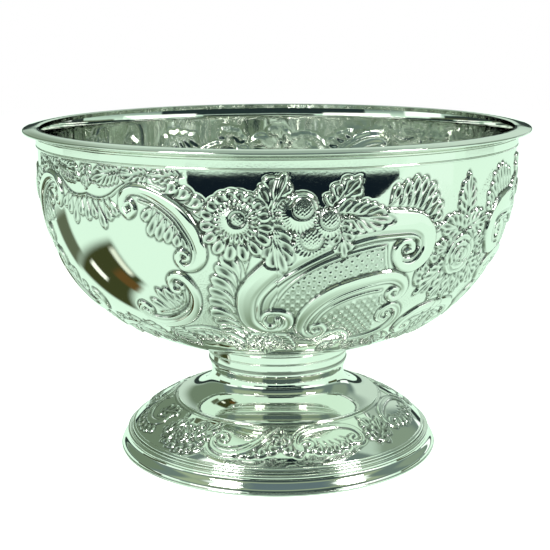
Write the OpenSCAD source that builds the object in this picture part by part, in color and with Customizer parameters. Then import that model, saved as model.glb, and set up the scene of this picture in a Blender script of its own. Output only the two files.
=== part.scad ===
// Footed silver punch bowl: a raised bowl with a moulded rim, carried by a waisted stem
// on a domed foot. Every piece is turned, raised or drawn wire, so each one is a ring.
// Millimetres, +Z up. The origin is the centre of the foot, on the surface it stands on.

/* [Bowl] */
// Outer diameter of the bowl body at its widest
body_d = 283; // [230:1:380]
// Depth of the bowl body, from its widest line down to its lowest outside point
body_h = 123; // [90:1:180]
// Squareness of the bowl's side: 2 is an ellipse, more is fuller
body_squareness = 2.55; // [2:0.05:3.2]
// Thickness of the raised bowl sheet
bowl_wall = 1.2; // [0.8:0.1:3]

/* [Rim] */
// How far the lip stands out from the bowl body
lip_reach = 8.5; // [5:0.5:16]
// Height of the lip moulding at its inner edge
lip_h = 4.4; // [3.6:0.1:8]
// Thickness of the lip's rounded outer edge
lip_edge = 1.5; // [1:0.1:2]
// Fall of the lip's top face from its crest to its outer edge
lip_fall = 1; // [0.5:0.1:1.4]
// Diameter of the fine reed wire under the lip
rim_reed_d = 1.1; // [0.6:0.1:2]
// Height of the plain band under the reed
rim_band_h = 4; // [2:0.1:10]
// Thickness of the plain band
rim_band_t = 0.9; // [0.5:0.1:2]
// Diameter of the half-round bead below the band
rim_bead_d = 1.5; // [0.8:0.1:3]

/* [Stem] */
// Outer diameter of the sleeve under the bowl, at its top
sleeve_d = 88; // [60:1:120]
// Outer diameter of the sleeve where it meets the spool
spool_top_d = 84.8; // [60:0.2:110]
// Diameter of the spool at its waist
waist_d = 82; // [50:1:100]
// Height of the sleeve, from the spool to the bowl's lowest point
sleeve_h = 10.5; // [7:0.5:30]
// Height from the waist up to the sleeve
spool_neck_h = 8; // [4:0.5:30]
// Height from the waist down to the shoulder's edge
spool_flare_h = 15.4; // [8:0.2:40]
// Diameter of the spool's shoulder, where it laps the foot
shoulder_d = 124.6; // [112:0.2:160]
// Thickness of the stem's sheet
stem_wall = 1.2; // [0.8:0.1:1.8]
// Diameter of the round wire between the stem and the bowl
collar_wire_d = 3.4; // [2:0.1:5]
// Diameter of the fine wire round the sleeve
sleeve_wire_d = 1; // [0.6:0.1:1.4]

/* [Foot] */
// Outer diameter of the foot where it stands
foot_d = 196.6; // [185:0.2:260]
// Rise of the dome from its bottom bead to the shoulder
dome_rise = 15.8; // [8:0.2:40]
// How far the dome bulges out past a straight cone
dome_bulge = 1.8; // [0:0.1:4]
// Thickness of the dome's sheet
dome_wall = 1.2; // [0.8:0.1:3]
// Height of the plain base band
base_band_h = 6.4; // [4:0.1:15]
// Thickness of the base band
base_band_t = 1.5; // [1:0.1:2]
// How far the base band spreads from its top to its bottom
base_spread = 3.7; // [2:0.1:8]
// Height of the flat wire that the foot stands on
base_wire_h = 2; // [1.5:0.1:4]
// Width of the flat wire that the foot stands on
base_wire_w = 4; // [3:0.1:8]
// Diameter of the bead at the bottom of the dome
upper_bead_d = 3; // [2:0.1:4]
// Width and height of the fine reed wire between the two beads
foot_reed_d = 1.1; // [0.6:0.1:1.6]
// Height of the bead on top of the base band
lower_bead_h = 2.3; // [1.6:0.1:4]
// How far the lower bead stands out past the dome's bottom edge
lower_bead_reach = 4.4; // [3:0.1:6]

/* [Hidden] */

// Silver that is left bright, silver dulled in chased work, and the greyer solder
bright_silver = "#e6eae2";
chased_silver = "#c3cdc4";
solder_grey = "#9aa39b";

// Steps along a curved outline, and sides of a whole turn
curve_steps = 24;
turn_sides = 180;

// The base band stands in from the base wire's rounded edge by this much at its bottom
base_edge_inset = 0.5;
// The lower bead stands out past the top of the base band by this much
band_ledge = 0.2;
// The lip hooks over the sheet's edge by this height
lip_hook = 1.5;
// How far out from the bowl body the underside of the lip starts
lip_root = 1.4;
// How far the ellipse of the shoulder's flare is drawn past the shoulder's edge
flare_overrun = 4;
// Width of the flat lap where the spool sits on the foot's dome
shoulder_lap = 4.6;
// Leg of a solder seam's fillet
seam_leg = 1.2;
// Gap between the foot's fine reed and the bead above it
reed_gap = 0.1;
// Upright length at the end of the sleeve and of the spool, where the two meet
joint_land = 0.4;

// The stack of heights, from the surface upwards
band_bottom_z = base_wire_h;
band_top_z = band_bottom_z + base_band_h;
dome_bottom_z = band_top_z + lower_bead_h + upper_bead_d;
shoulder_z = dome_bottom_z + dome_rise;
lap_top_z = shoulder_z + stem_wall;
waist_z = lap_top_z + spool_flare_h;
spool_top_z = waist_z + spool_neck_h;
bowl_base_z = spool_top_z + sleeve_h;
widest_z = bowl_base_z + body_h;
band_z = widest_z + rim_bead_d;
reed_z = band_z + rim_band_h;
lip_z = reed_z + rim_reed_d;
rim_top_z = lip_z + lip_h;

// Radii
body_r = body_d / 2;
inner_r = body_r - bowl_wall;
lip_r = body_r + lip_reach;
foot_r = foot_d / 2;
band_top_r = foot_r - base_edge_inset - base_spread;
dome_bottom_r = band_top_r + band_ledge - lower_bead_reach;
shoulder_r = shoulder_d / 2;

// --- Outlines ------------------------------------------------------------

// A point on the line from a to b, bowed out to the left by its share of the bulge
function bowed(a, b, bulge, t) =
    let (along = b - a,
         left = [-along[1], along[0]] / norm(along))
    a + along * t + left * bulge * 4 * t * (1 - t);

// A bowed line from a to b
function bow(a, b, bulge, steps = curve_steps) =
    [for (i = [0:steps]) bowed(a, b, bulge, i / steps)];

// The way a line runs at its point i
function heading(line, i) =
    let (last = len(line) - 1,
         way = line[min(i + 1, last)] - line[max(i - 1, 0)])
    way / norm(way);

// A line moved to its right by a distance, and turned end for end
function back_offset(line, distance) =
    [for (i = [len(line) - 1:-1:0])
        let (way = heading(line, i))
        line[i] + distance * [way[1], -way[0]]];

// The closed outline of a sheet whose left face is the line
function sheet(line, wall) = concat(line, back_offset(line, wall));

// Height of a superellipse of the bowl's kind below its widest line
function bowl_drop(depth, share) = depth * pow(sin(share), 2 / body_squareness);
function bowl_reach(reach, share) = reach * pow(cos(share), 2 / body_squareness);

// Side of the bowl from its lowest point to its widest line
function bowl_side(reach, depth) =
    [for (i = [0:2 * curve_steps])
        let (share = 90 * (1 - i / (2 * curve_steps)))
        [bowl_reach(reach, share), widest_z - bowl_drop(depth, share)]];

// Quarter ellipse of the spool's flare, from the waist down to the shoulder
function flare() =
    let (centre_r = shoulder_r + flare_overrun,
         half_w = centre_r - waist_d / 2,
         end = acos(flare_overrun / half_w),
         half_h = spool_flare_h / sin(end))
    [for (i = [0:curve_steps])
        let (turn = end * i / curve_steps)
        [centre_r - half_w * cos(turn), waist_z - half_h * sin(turn)]];

// A side that swings from one radius and height to another, and is upright at both ends
function swung(from, to) =
    [for (i = [0:curve_steps])
        let (share = i / curve_steps)
        [to[0] + (from[0] - to[0]) * (1 + cos(180 * share)) / 2,
         from[1] + (to[1] - from[1]) * share]];

// Neck of the spool from its top down to just above the waist
function spool_neck() =
    let (swing = swung([spool_top_d / 2, spool_top_z - joint_land], [waist_d / 2, waist_z]))
    concat([[spool_top_d / 2, spool_top_z]],
           [for (i = [0:curve_steps - 1]) swing[i]]);

// Outer radius of the sleeve at a height between the spool and the bowl
function sleeve_r_at(z) =
    let (land_z = spool_top_z + joint_land,
         share = (bowl_seat_z() - z) / (bowl_seat_z() - land_z))
    spool_top_d / 2 + (sleeve_d - spool_top_d) * (1 + cos(180 * share)) / 4;

// Side of the sleeve from inside the bowl down to the spool: it spreads under the bowl
function sleeve_side() =
    let (seat_z = bowl_seat_z())
    concat([[sleeve_d / 2, seat_z + stem_wall * 3]],
           swung([sleeve_d / 2, seat_z], [spool_top_d / 2, spool_top_z + joint_land]),
           [[spool_top_d / 2, spool_top_z]]);

// Height where the bowl's outside crosses the top of the sleeve
function bowl_seat_z() =
    let (share = pow(sleeve_d / 2 / body_r, body_squareness))
    widest_z - body_h * pow(1 - share, 1 / body_squareness);

// --- Sections ------------------------------------------------------------

// Turns a section drawn in radius and height into a ring
module turned() {
    rotate_extrude($fn = turn_sides) children();
}

// Everything inside the bowl's outer face, up to the widest line
module bowl_solid_section() {
    polygon(concat(bowl_side(body_r, body_h), [[0, widest_z]]));
}

// Round wire of diameter d centred at radius r and height z
module wire_section(r, z, d) {
    translate([r, z]) circle(d = d, $fn = 48);
}

// Flat strip from radius r0 to r1 and height z0 to z1
module strip_section(r0, r1, z0, z1) {
    translate([r0, z0]) square([r1 - r0, z1 - z0]);
}

// Half-round wire laid with its flat on radius r, its lowest point at height z
module half_round_section(r, z, d) {
    intersection() {
        wire_section(r, z + d / 2, d);
        strip_section(r, r + d, z, z + d);
    }
}

// Upright strip with a round top, as wide as it is high, its middle at radius r
module round_topped_section(r, z, d) {
    strip_section(r - d / 2, r + d / 2, z, z + d / 2);
    translate([r, z + d / 2]) circle(d = d, $fn = 12);
}

// Sleeve tube before the bowl is seated in it
module sleeve_section() {
    polygon(sheet(sleeve_side(), stem_wall));
}

// --- Bowl and rim --------------------------------------------------------

// Raised bowl, one sheet from the pole to the edge that the lip hooks over
module bowl_shell() {
    color(chased_silver) turned() {
        difference() {
            bowl_solid_section();
            polygon(concat(bowl_side(inner_r, body_h - bowl_wall), [[0, widest_z]]));
        }
        strip_section(inner_r, body_r, widest_z, lip_z + lip_hook);
    }
}

// Everted lip: it sits on the sheet's edge, falls a little outwards and ends in a round edge
module rim_lip() {
    edge_r = lip_edge / 2;
    edge_centre = [lip_r - edge_r, rim_top_z - lip_fall - edge_r];
    crest = [body_r, rim_top_z];
    color(bright_silver) turned() {
        difference() {
            union() {
                polygon(concat(
                    bow([body_r + lip_root, lip_z], edge_centre - [0, edge_r], lip_edge / 2),
                    [edge_centre + [0, edge_r], crest, [inner_r, rim_top_z - lip_fall / 2],
                     [inner_r, lip_z]]));
                translate(edge_centre) circle(r = edge_r, $fn = 48);
            }
            strip_section(inner_r - 1, body_r, lip_z - 1, lip_z + lip_hook);
        }
    }
}

// Fine reed in the corner between the lip and the plain band
module rim_reed() {
    color(bright_silver) turned()
        half_round_section(body_r, reed_z, rim_reed_d);
}

// Plain polished band round the top of the body
module rim_band() {
    color(bright_silver) turned()
        strip_section(body_r, body_r + rim_band_t, band_z, reed_z);
}

// Half-round bead that closes the bottom of the rim moulding
module rim_bead() {
    color(bright_silver) turned() {
        half_round_section(body_r + rim_bead_d / 4, widest_z, rim_bead_d);
        strip_section(body_r, body_r + rim_bead_d / 4, widest_z, band_z);
    }
}

// --- Stem ----------------------------------------------------------------

// Round wire in the angle between the sleeve and the bowl
module collar_wire() {
    color(bright_silver) turned() {
        difference() {
            wire_section(sleeve_d / 2 + collar_wire_d / 4, bowl_seat_z() - collar_wire_d / 4,
                         collar_wire_d);
            bowl_solid_section();
            sleeve_section();
            strip_section(0, spool_top_d / 2, 0, widest_z);
        }
    }
}

// Solder that runs round the inside of the joint between the bowl and the sleeve
module bowl_solder_seam() {
    joint_r = sleeve_d / 2 - stem_wall;
    joint_z = bowl_seat_z();
    color(solder_grey) turned() {
        difference() {
            polygon([[joint_r - seam_leg, joint_z + seam_leg], [joint_r + stem_wall, joint_z + seam_leg],
                     [joint_r + stem_wall, joint_z - 2 * seam_leg],
                     [joint_r - seam_leg, joint_z - seam_leg / 2]]);
            bowl_solid_section();
            sleeve_section();
            strip_section(joint_r, sleeve_d, 0, widest_z);
        }
    }
}

// Short tube from the spool to the bowl, its top cut to the bowl's curve
module stem_sleeve() {
    color(bright_silver) turned() {
        difference() {
            sleeve_section();
            bowl_solid_section();
        }
    }
}

// Fine wire laid round the sleeve
module sleeve_wire() {
    wire_z = spool_top_z + sleeve_h / 2;
    color(bright_silver) turned() {
        difference() {
            wire_section(sleeve_r_at(wire_z) + sleeve_wire_d / 4, wire_z, sleeve_wire_d);
            sleeve_section();
        }
    }
}

// Rough line of solder round the outside, where the sleeve meets the spool
module stem_solder_seam() {
    seam_r = spool_top_d / 2;
    color(solder_grey) turned() {
        difference() {
            polygon([[seam_r - stem_wall / 2, spool_top_z + seam_leg],
                     [seam_r + seam_leg / 2, spool_top_z],
                     [seam_r - stem_wall / 2, spool_top_z - seam_leg]]);
            sleeve_section();
            polygon(sheet(spool_neck(), stem_wall));
            strip_section(0, seam_r - stem_wall / 2, 0, widest_z);
        }
    }
}

// Waisted spool, spun in one piece with the shoulder whose flat underside laps the foot
module stem_spool() {
    lap_r = shoulder_r - shoulder_lap;
    outside = concat(spool_neck(), flare());
    inside = [for (p = back_offset(outside, stem_wall)) if (p[0] < lap_r) p];
    color(bright_silver) turned()
        polygon(concat(outside, [[shoulder_r, shoulder_z], [lap_r, shoulder_z]], inside));
}

// --- Foot ----------------------------------------------------------------

// Domed foot: a flat lap under the shoulder, the dome, and an upright skirt
module foot_dome() {
    slope = bow([shoulder_r, shoulder_z], [dome_bottom_r, dome_bottom_z], dome_bulge);
    outside = concat([[shoulder_r - shoulder_lap, shoulder_z]], slope,
                     [[dome_bottom_r, band_top_z]]);
    color(chased_silver) turned() polygon(sheet(outside, dome_wall));
}

// Half-round bead round the bottom of the dome
module foot_upper_bead() {
    color(bright_silver) turned()
        half_round_section(dome_bottom_r, dome_bottom_z - upper_bead_d, upper_bead_d);
}

// Fine reed that stands on the lower bead, just clear of the upper one
module foot_reed() {
    reed_r = dome_bottom_r + (upper_bead_d + foot_reed_d) / 2 + reed_gap;
    color(bright_silver) turned()
        round_topped_section(reed_r, band_top_z + lower_bead_h, foot_reed_d);
}

// Wide bead on top of the base band, rounded at its outer edge
module foot_lower_bead() {
    round_r = dome_bottom_r + lower_bead_reach - lower_bead_h / 2;
    color(bright_silver) turned() {
        strip_section(dome_bottom_r, round_r, band_top_z, band_top_z + lower_bead_h);
        wire_section(round_r, band_top_z + lower_bead_h / 2, lower_bead_h);
    }
}

// Plain base band: a cove under the bead that rolls over towards the table
module foot_base_band() {
    top = [band_top_r, band_top_z];
    bottom = [band_top_r + base_spread, band_bottom_z];
    turn_over = (top + bottom) / 2;
    hollow = base_band_t / 4;
    outer = concat(bow(top, turn_over, -hollow), bow(turn_over, bottom, hollow));
    inner = [for (i = [len(outer) - 1:-1:0]) outer[i] - [base_band_t, 0]];
    color(bright_silver) turned() polygon(concat(outer, inner));
}

// Flat wire that stiffens the foot and stands on the table
module foot_base_wire() {
    round_r = foot_r - base_wire_h / 2;
    color(bright_silver) turned() {
        strip_section(foot_r - base_wire_w, round_r, 0, base_wire_h);
        wire_section(round_r, base_wire_h / 2, base_wire_h);
    }
}

bowl_shell();
rim_lip();
rim_reed();
rim_band();
rim_bead();
collar_wire();
bowl_solder_seam();
stem_sleeve();
sleeve_wire();
stem_solder_seam();
stem_spool();
foot_dome();
foot_upper_bead();
foot_reed();
foot_lower_bead();
foot_base_band();
foot_base_wire();
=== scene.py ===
"""Footed silver punch bowl with chased scrolls, leaves and flowers, built around its frame."""

import logging
import math
from dataclasses import dataclass, field
from enum import Enum

import bpy
import numpy as np
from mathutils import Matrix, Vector

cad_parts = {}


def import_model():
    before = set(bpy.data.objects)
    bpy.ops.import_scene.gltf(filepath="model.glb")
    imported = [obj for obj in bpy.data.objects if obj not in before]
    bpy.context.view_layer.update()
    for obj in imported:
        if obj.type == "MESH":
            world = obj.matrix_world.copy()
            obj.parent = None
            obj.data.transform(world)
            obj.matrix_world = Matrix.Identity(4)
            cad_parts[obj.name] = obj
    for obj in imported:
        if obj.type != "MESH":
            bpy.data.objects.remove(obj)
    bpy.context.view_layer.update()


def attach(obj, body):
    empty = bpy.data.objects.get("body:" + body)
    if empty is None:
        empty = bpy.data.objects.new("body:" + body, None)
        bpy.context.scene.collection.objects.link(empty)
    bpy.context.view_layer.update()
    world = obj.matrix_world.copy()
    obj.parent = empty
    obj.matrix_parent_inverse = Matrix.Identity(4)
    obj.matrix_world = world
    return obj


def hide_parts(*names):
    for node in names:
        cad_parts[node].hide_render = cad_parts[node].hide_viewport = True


LOG = logging.getLogger("punch_bowl")
MM = 0.001
BODY = "root"
RING_STEPS = 288
BOTTOM_STEPS = 128
POLE_R = 0.02

Point = tuple[float, float]
Stroke = list[tuple[float, float, float]]


class Slot(Enum):
    """Names of the material slots; the stem's table lists one for each piece, but nothing reads it."""

    BRIGHT = "bright_silver"
    CHASED = "chased_silver"
    SOLDER = "silver_solder"


# --- Drawing of the chased work ---------------------------------------------

# The chased line round a shape: how far outside it, how wide, and how dark it is painted: tarnishing
# and painted shade in its groove.
LINE_GAP, LINE_WIDTH, LINE_DARK = 0.35, 0.36, 0.75
# A dished lobe's raised lip: its place and width, as shares of the way out to the edge.
LIP_PLACE, LIP_WIDTH = 0.78, 0.24
# A lobe's hollow: its place and length as shares of the lobe's length, and its width.
SCOOP_PLACE, SCOOP_LENGTH, SCOOP_WIDTH = 0.68, 0.19, 0.16
# Bands this narrow are round in section; the full section comes this much wider.
ROUND_BELOW, ROUND_FADE = 5.0, 4.0
# A rose petal: shares along it, each with its width there, and how far it laps the next.
PETAL_WIDTHS = ((0.0, 2.0), (0.25, 3.8), (0.5, 4.6), (0.75, 3.8), (1.0, 2.0))
PETAL_LAP = 1.15


def ease(x: np.ndarray) -> np.ndarray:
    """Smooth step from 0 at x = 0 to 1 at x = 1."""
    x = np.clip(x, 0.0, 1.0)
    return x * x * (3.0 - 2.0 * x)


def bump(x: np.ndarray, width: float) -> np.ndarray:
    """Bell of height 1 at x = 0 that has almost gone at twice its width."""
    return np.exp(-((x / width) ** 2))


def soften(field_in: np.ndarray, sigma: float) -> np.ndarray:
    """Blurs a field along both of its axes.

    Args:
        field_in: The field to blur.
        sigma: Standard deviation of the blur, in cells.

    Returns:
        The blurred field, of the same shape.
    """
    reach = max(1, int(3 * sigma))
    weights = np.exp(-0.5 * (np.arange(-reach, reach + 1) / sigma) ** 2)
    weights /= weights.sum()
    out = field_in
    for axis in (0, 1):
        padded = np.pad(out, [(reach, reach) if a == axis else (0, 0) for a in (0, 1)], "edge")
        total = np.zeros_like(out)
        for i, weight in enumerate(weights):
            window = [slice(None), slice(None)]
            window[axis] = slice(i, i + out.shape[axis])
            total += weight * padded[tuple(window)]
        out = total
    return out


def spline(points: list[tuple[float, ...]], spacing: float = 0.6) -> np.ndarray:
    """Runs a smooth curve through points.

    Args:
        points: Two or more points; the first two values of each are its place.
        spacing: Distance between the samples that come back.

    Returns:
        Samples of the curve, one row each, with as many columns as a point has values.
    """
    p = np.array(points, float)
    p = np.vstack([2 * p[0] - p[1], p, 2 * p[-1] - p[-2]])
    rows = []
    for i in range(1, len(p) - 2):
        steps = max(2, int(np.hypot(*(p[i + 1, :2] - p[i, :2])) / spacing))
        t = np.linspace(0, 1, steps, endpoint=False)[:, None]
        a, b, c, d = p[i - 1], p[i], p[i + 1], p[i + 2]
        rows.append(0.5 * (2 * b + (c - a) * t + (2 * a - 5 * b + 4 * c - d) * t ** 2
                           + (3 * b - a - 3 * c + d) * t ** 3))
    rows.append(p[-2:-1])
    return np.vstack(rows)


def headings(line: np.ndarray) -> np.ndarray:
    """Unit direction of a sampled line at each of its samples."""
    way = np.gradient(line[:, :2], axis=0)
    return way / np.maximum(np.hypot(way[:, 0], way[:, 1]), 1e-9)[:, None]


class Section(Enum):
    """Cross-section of a band: (place from outer edge to inner edge, height, darkness)."""

    # The darkness paints shade and reflection: the channel and the slopes that turn down are painted
    # darker, as the light they mirror is darker, and the edge grooves dark with tarnishing and painted
    # shade.
    SCROLL = ((0.0, 0.1, 0.7), (0.03, 0.8, 0.15), (0.1, 1.0, 0.0), (0.3, 1.14, 0.0),
              (0.55, 1.08, 0.0), (0.66, 0.85, 0.0), (0.73, 0.45, 0.12), (0.8, 0.45, 0.15),
              (0.86, 0.85, 0.0), (0.91, 1.0, 0.0), (0.95, 0.6, 0.4), (1.0, -0.1, 0.9))
    ROUND = ((0.0, 0.1, 0.6), (0.1, 0.65, 0.1), (0.3, 0.98, 0.0), (0.5, 1.1, 0.0),
             (0.7, 0.98, 0.0), (0.9, 0.65, 0.1), (1.0, 0.1, 0.6))
    HOLLOW = ((0.0, 0.1, 0.6), (0.1, 0.95, 0.0), (0.3, 0.8, 0.0), (0.5, 0.5, 0.15),
              (0.7, 0.8, 0.0), (0.9, 0.95, 0.0), (1.0, 0.1, 0.6))

    def sample(self, place: np.ndarray) -> tuple[np.ndarray, np.ndarray]:
        """Height and darkness at places between the outer edge, 0, and the inner edge, 1."""
        knots = np.array(self.value)
        fine = np.linspace(0, 1, 201)
        wide = np.ones(9) / 9
        tables = []
        for column in (1, 2):
            table = np.interp(fine, knots[:, 0], knots[:, column])
            tables.append(np.convolve(np.pad(table, 4, "edge"), wide, "valid"))
        return tuple(np.interp(place, fine, table) for table in tables)


@dataclass
class Canvas:
    """A flat drawing of chased work, in millimetres: across to the right, and down."""

    left: float
    right: float
    top: float
    bottom: float
    step: float = 0.3
    height: np.ndarray = field(init=False)
    dark: np.ndarray = field(init=False)
    matt: np.ndarray = field(init=False)

    def __post_init__(self) -> None:
        """Lays out an empty sheet."""
        self.across = np.arange(self.left, self.right + self.step, self.step)
        self.down = np.arange(self.top, self.bottom + self.step, self.step)
        shape = (len(self.down), len(self.across))
        self.height = np.zeros(shape)
        self.dark = np.zeros(shape)
        self.matt = np.zeros(shape)

    def window(self, points: np.ndarray, reach: float) -> tuple:
        """Finds the part of the sheet around some points.

        Args:
            points: Points, one row each.
            reach: How far past the points the window goes.

        Returns:
            The pair of slices, and the across and down places of its cells.
        """
        low = points[:, :2].min(0) - reach
        high = points[:, :2].max(0) + reach
        a = np.searchsorted(self.across, (low[0], high[0]))
        d = np.searchsorted(self.down, (low[1], high[1]))
        view = (slice(d[0], d[1]), slice(a[0], a[1]))
        x, y = np.meshgrid(self.across[view[1]], self.down[view[0]])
        return view, x, y

    def lay(self, view: tuple, inside: np.ndarray, height: np.ndarray, dark: np.ndarray,
            edge: float = 0.35, groove: float = 0.35) -> None:
        """Lays one shape over what is there, with a chased line round it.

        Args:
            view: The pair of slices that the shape lies in.
            inside: Distance inside the shape's outline, below 0 outside it.
            height: Height of the shape's face above the sheet.
            dark: Darkness of the shape's face, 0 to 1.
            edge: Width of the shape's sloping edge.
            groove: Depth of the chased line just outside the outline.
        """
        if inside.size == 0:
            return
        mask = ease(inside / edge + 0.5)
        line = bump(inside + LINE_GAP, LINE_WIDTH)
        self.height[view] = (self.height[view] * (1 - mask) + height * mask
                             - groove * line * (1 - mask))
        # The chased line round the shape is painted dark: tarnishing and painted shade in its groove.
        self.dark[view] = np.maximum(self.dark[view] * (1 - mask) + dark * mask,
                                     LINE_DARK * line * (1 - mask))
        self.matt[view] *= 1 - mask

    def lobe(self, spine: list[Point], width: float, height: float = 1.2, hollow: float = 0.6,
             spoon: float = 0.0, flutes: int = 0, root: float = 0.4, belly: float = 0.65) -> None:
        """Embosses one petal or leaf lobe, widest towards its tip, with a teardrop hollow.

        Args:
            spine: Its base, any bend, and its tip.
            width: Its greatest width.
            height: Its height above the sheet.
            hollow: Depth of the hollow near its tip.
            spoon: How far its face is dished inside a raised edge, 0 to 1.
            flutes: Number of fine flutes along it.
            root: Its width at its base, as a share of the greatest.
            belly: Where it is widest, as a share of its length.
        """
        ends = np.array(spine, float)
        line = spline(spine, np.hypot(*(ends[-1] - ends[0])) / 12)
        run = np.concatenate([[0], np.cumsum(np.hypot(*np.diff(line, axis=0).T))])
        length = run[-1]
        way = headings(line)
        view, x, y = self.window(line, width / 2 + 1)
        if x.size == 0:
            return
        dx, dy = x[..., None] - line[:, 0], y[..., None] - line[:, 1]
        near = np.argmin(dx * dx + dy * dy, -1)
        dx = np.take_along_axis(dx, near[..., None], -1)[..., 0]
        dy = np.take_along_axis(dy, near[..., None], -1)[..., 0]
        a = run[near] + dx * way[near, 0] + dy * way[near, 1]
        b = way[near, 0] * dy - way[near, 1] * dx
        middle = belly * length
        half = width / 2 * np.where(a < middle, root + (1 - root) * ease(a / middle), 1.0)
        span = np.where(a < middle, middle, length - middle)
        out = np.sqrt(((a - middle) / span) ** 2 + (b / half) ** 2)
        inside = (1 - out) * min(width / 2, length - middle)
        dome = np.sqrt(np.clip(1 - out ** 3, 0, 1))
        lip = bump(out - LIP_PLACE, LIP_WIDTH)
        scoop = (bump(a - SCOOP_PLACE * length, SCOOP_LENGTH * length)
                 * bump(b, SCOOP_WIDTH * width))
        crown = (1 - spoon) * dome + spoon * lip
        face = height * (0.5 + 0.5 * crown) * (0.72 + 0.28 * a / length) - hollow * scoop
        # Painted shade: the teardrop hollow near the tip, and a dished face inside its lip, are painted
        # dark.
        shade = np.maximum(np.clip(1.5 * scoop, 0, 1) * min(1.0, hollow / 0.4),
                           0.45 * spoon * (1 - lip) * (out < LIP_PLACE))
        if flutes:
            wave = np.cos(2 * math.pi * (flutes * b / np.maximum(half * 2, 0.1) + 0.5))
            fade = ease(1.5 - 1.6 * a / length)
            face = face + 0.14 * wave * fade
            # Painted shade in the troughs between the flutes.
            shade = np.maximum(shade, 0.35 * ease(-wave) * fade)
        self.lay(view, inside, face, shade)

    def lobes(self, spines: tuple[tuple[Point, Point], ...], width: float, height: float,
              hollow: float, root: float, belly: float) -> None:
        """Embosses fluted lobes of one size, each from its base to its tip.

        Args:
            spines: The base and the tip of each lobe.
            width: Greatest width of each.
            height: Height of each above the sheet.
            hollow: Depth of the hollow near each tip.
            root: Width at the base, as a share of the greatest.
            belly: Where each is widest, as a share of its length.
        """
        for base, tip in spines:
            self.lobe([base, tip], width, height, hollow, flutes=1, root=root, belly=belly)

    def petals(self, centre: Point, count: int, start: float, end: float, width: float,
               height: float, hollow: float, turn: float = 0.0, sag: float = 0.0,
               spoon: float = 0.0, root: float = 0.4, belly: float = 0.72) -> None:
        """Embosses a ring of petals round a flower's middle.

        Args:
            centre: Middle of the flower.
            count: Number of petals.
            start: Distance of their bases from the middle.
            end: Distance of their tips from the middle.
            width: Greatest width of each.
            height: Height of each above the sheet.
            hollow: Depth of the hollow near each tip.
            turn: Angle of the first petal, in radians.
            sag: How much longer the lowest petal is than a level one.
            spoon: How far the petals are dished, 0 to 1.
            root: Width at the base, as a share of the greatest.
            belly: Where each is widest, as a share of its length.
        """
        middle = np.array(centre)
        for i in range(count):
            angle = turn + 2 * math.pi * i / count
            way = np.array([math.cos(angle), math.sin(angle)])
            spine = [tuple(middle + start * way), tuple(middle + (end + sag * way[1]) * way)]
            self.lobe(spine, width, height, hollow, spoon, 0, root, belly)

    def band(self, stroke: Stroke, height: float = 1.5, section: Section = Section.SCROLL,
             inner: Point | None = None, groove: float = 0.4) -> None:
        """Embosses a moulded band along a curve, such as a scroll with its volutes.

        Args:
            stroke: Points of the band's middle line, each with the band's width there.
            height: Height of the band's face.
            section: Cross-section where the band is wide; it turns round where it is narrow.
            inner: A point on the band's inner side, near its widest place.
            groove: Depth of the chased line along its edges.
        """
        line = spline(stroke)
        way = headings(line)
        widest = int(np.argmax(line[:, 2]))
        side = 1.0
        if inner is not None:
            to_inner = np.array(inner) - line[widest, :2]
            side = math.copysign(1.0, way[widest, 0] * to_inner[1] - way[widest, 1] * to_inner[0])
        view, x, y = self.window(line, line[:, 2].max())
        best = np.full(x.shape, 1e9)
        offset = np.zeros(x.shape)
        wide = np.ones(x.shape)
        for (px, py, width), (wx, wy) in zip(line, way):
            reach = width / 2 + 1.5
            i0, i1 = np.searchsorted(y[:, 0], (py - reach, py + reach)) if y.size else (0, 0)
            j0, j1 = np.searchsorted(x[0], (px - reach, px + reach)) if x.size else (0, 0)
            if i0 == i1 or j0 == j1:
                continue
            part = (slice(i0, i1), slice(j0, j1))
            dx, dy = x[part] - px, y[part] - py
            far = np.hypot(dx, dy) / (width / 2)
            nearer = far < best[part]
            cross = (wx * dy - wy * dx) / (width / 2)
            best[part] = np.where(nearer, far, best[part])
            offset[part] = np.where(nearer, cross, offset[part])
            wide[part] = np.where(nearer, width, wide[part])
        place = np.clip((side * offset + 1) / 2, 0, 1)
        face, shade = section.sample(place)
        round_face, round_shade = Section.ROUND.sample(place)
        mix = ease((wide - ROUND_BELOW) / ROUND_FADE) if section is Section.SCROLL else np.ones(x.shape)
        face = round_face * (1 - mix) + face * mix
        shade = round_shade * (1 - mix) + shade * mix
        rise = height * np.clip(0.55 + wide / 14, 0.5, 1.0)
        self.lay(view, (1 - best) * wide / 2, face * rise, shade, 0.4, groove)

    def bead(self, points: list[Point], width: float = 1.4, height: float = 0.7) -> None:
        """Raises a thin bead along a curve."""
        self.band([(x, y, width) for x, y in points], height, Section.ROUND, None, 0.25)

    def fringe(self, points: list[Point], lobes: int, reach: tuple[float, float], side: int,
               lean: float = 0.5, height: float = 1.2, fat: float = 1.2, curl: float = 0.5,
               flutes: int = 1) -> None:
        """Grows a fringe of leaf lobes from one side of a curve.

        Args:
            points: Points of the stem that the lobes grow from.
            lobes: Number of lobes.
            reach: Length of the first lobe and of the last.
            side: 1 for the right-hand side as the curve runs, -1 for the left.
            lean: How far the lobes lean forward at their tips, in radians.
            height: Height of the lobes.
            fat: Width of a lobe as a share of the distance between two.
            curl: How much more they lean at their roots, in radians.
            flutes: Number of fine flutes along each lobe.
        """
        line = spline(points)
        way = headings(line)
        length = np.hypot(*np.diff(line[:, :2], axis=0).T).sum()
        for i in range(lobes):
            share = (i + 0.5) / lobes
            at = int(share * (len(line) - 1))
            out = side * np.array([-way[at, 1], way[at, 0]])
            size = reach[0] + (reach[1] - reach[0]) * share
            spine = [line[at, :2]]
            for angle in (lean + curl, lean, lean - curl):
                aim = out * math.cos(angle) + way[at] * math.sin(angle)
                spine.append(spine[-1] + aim * size / 3)
            self.lobe([tuple(p) for p in spine], fat * length / lobes, height, 0.5,
                      flutes=flutes, root=0.3, belly=0.78)

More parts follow.
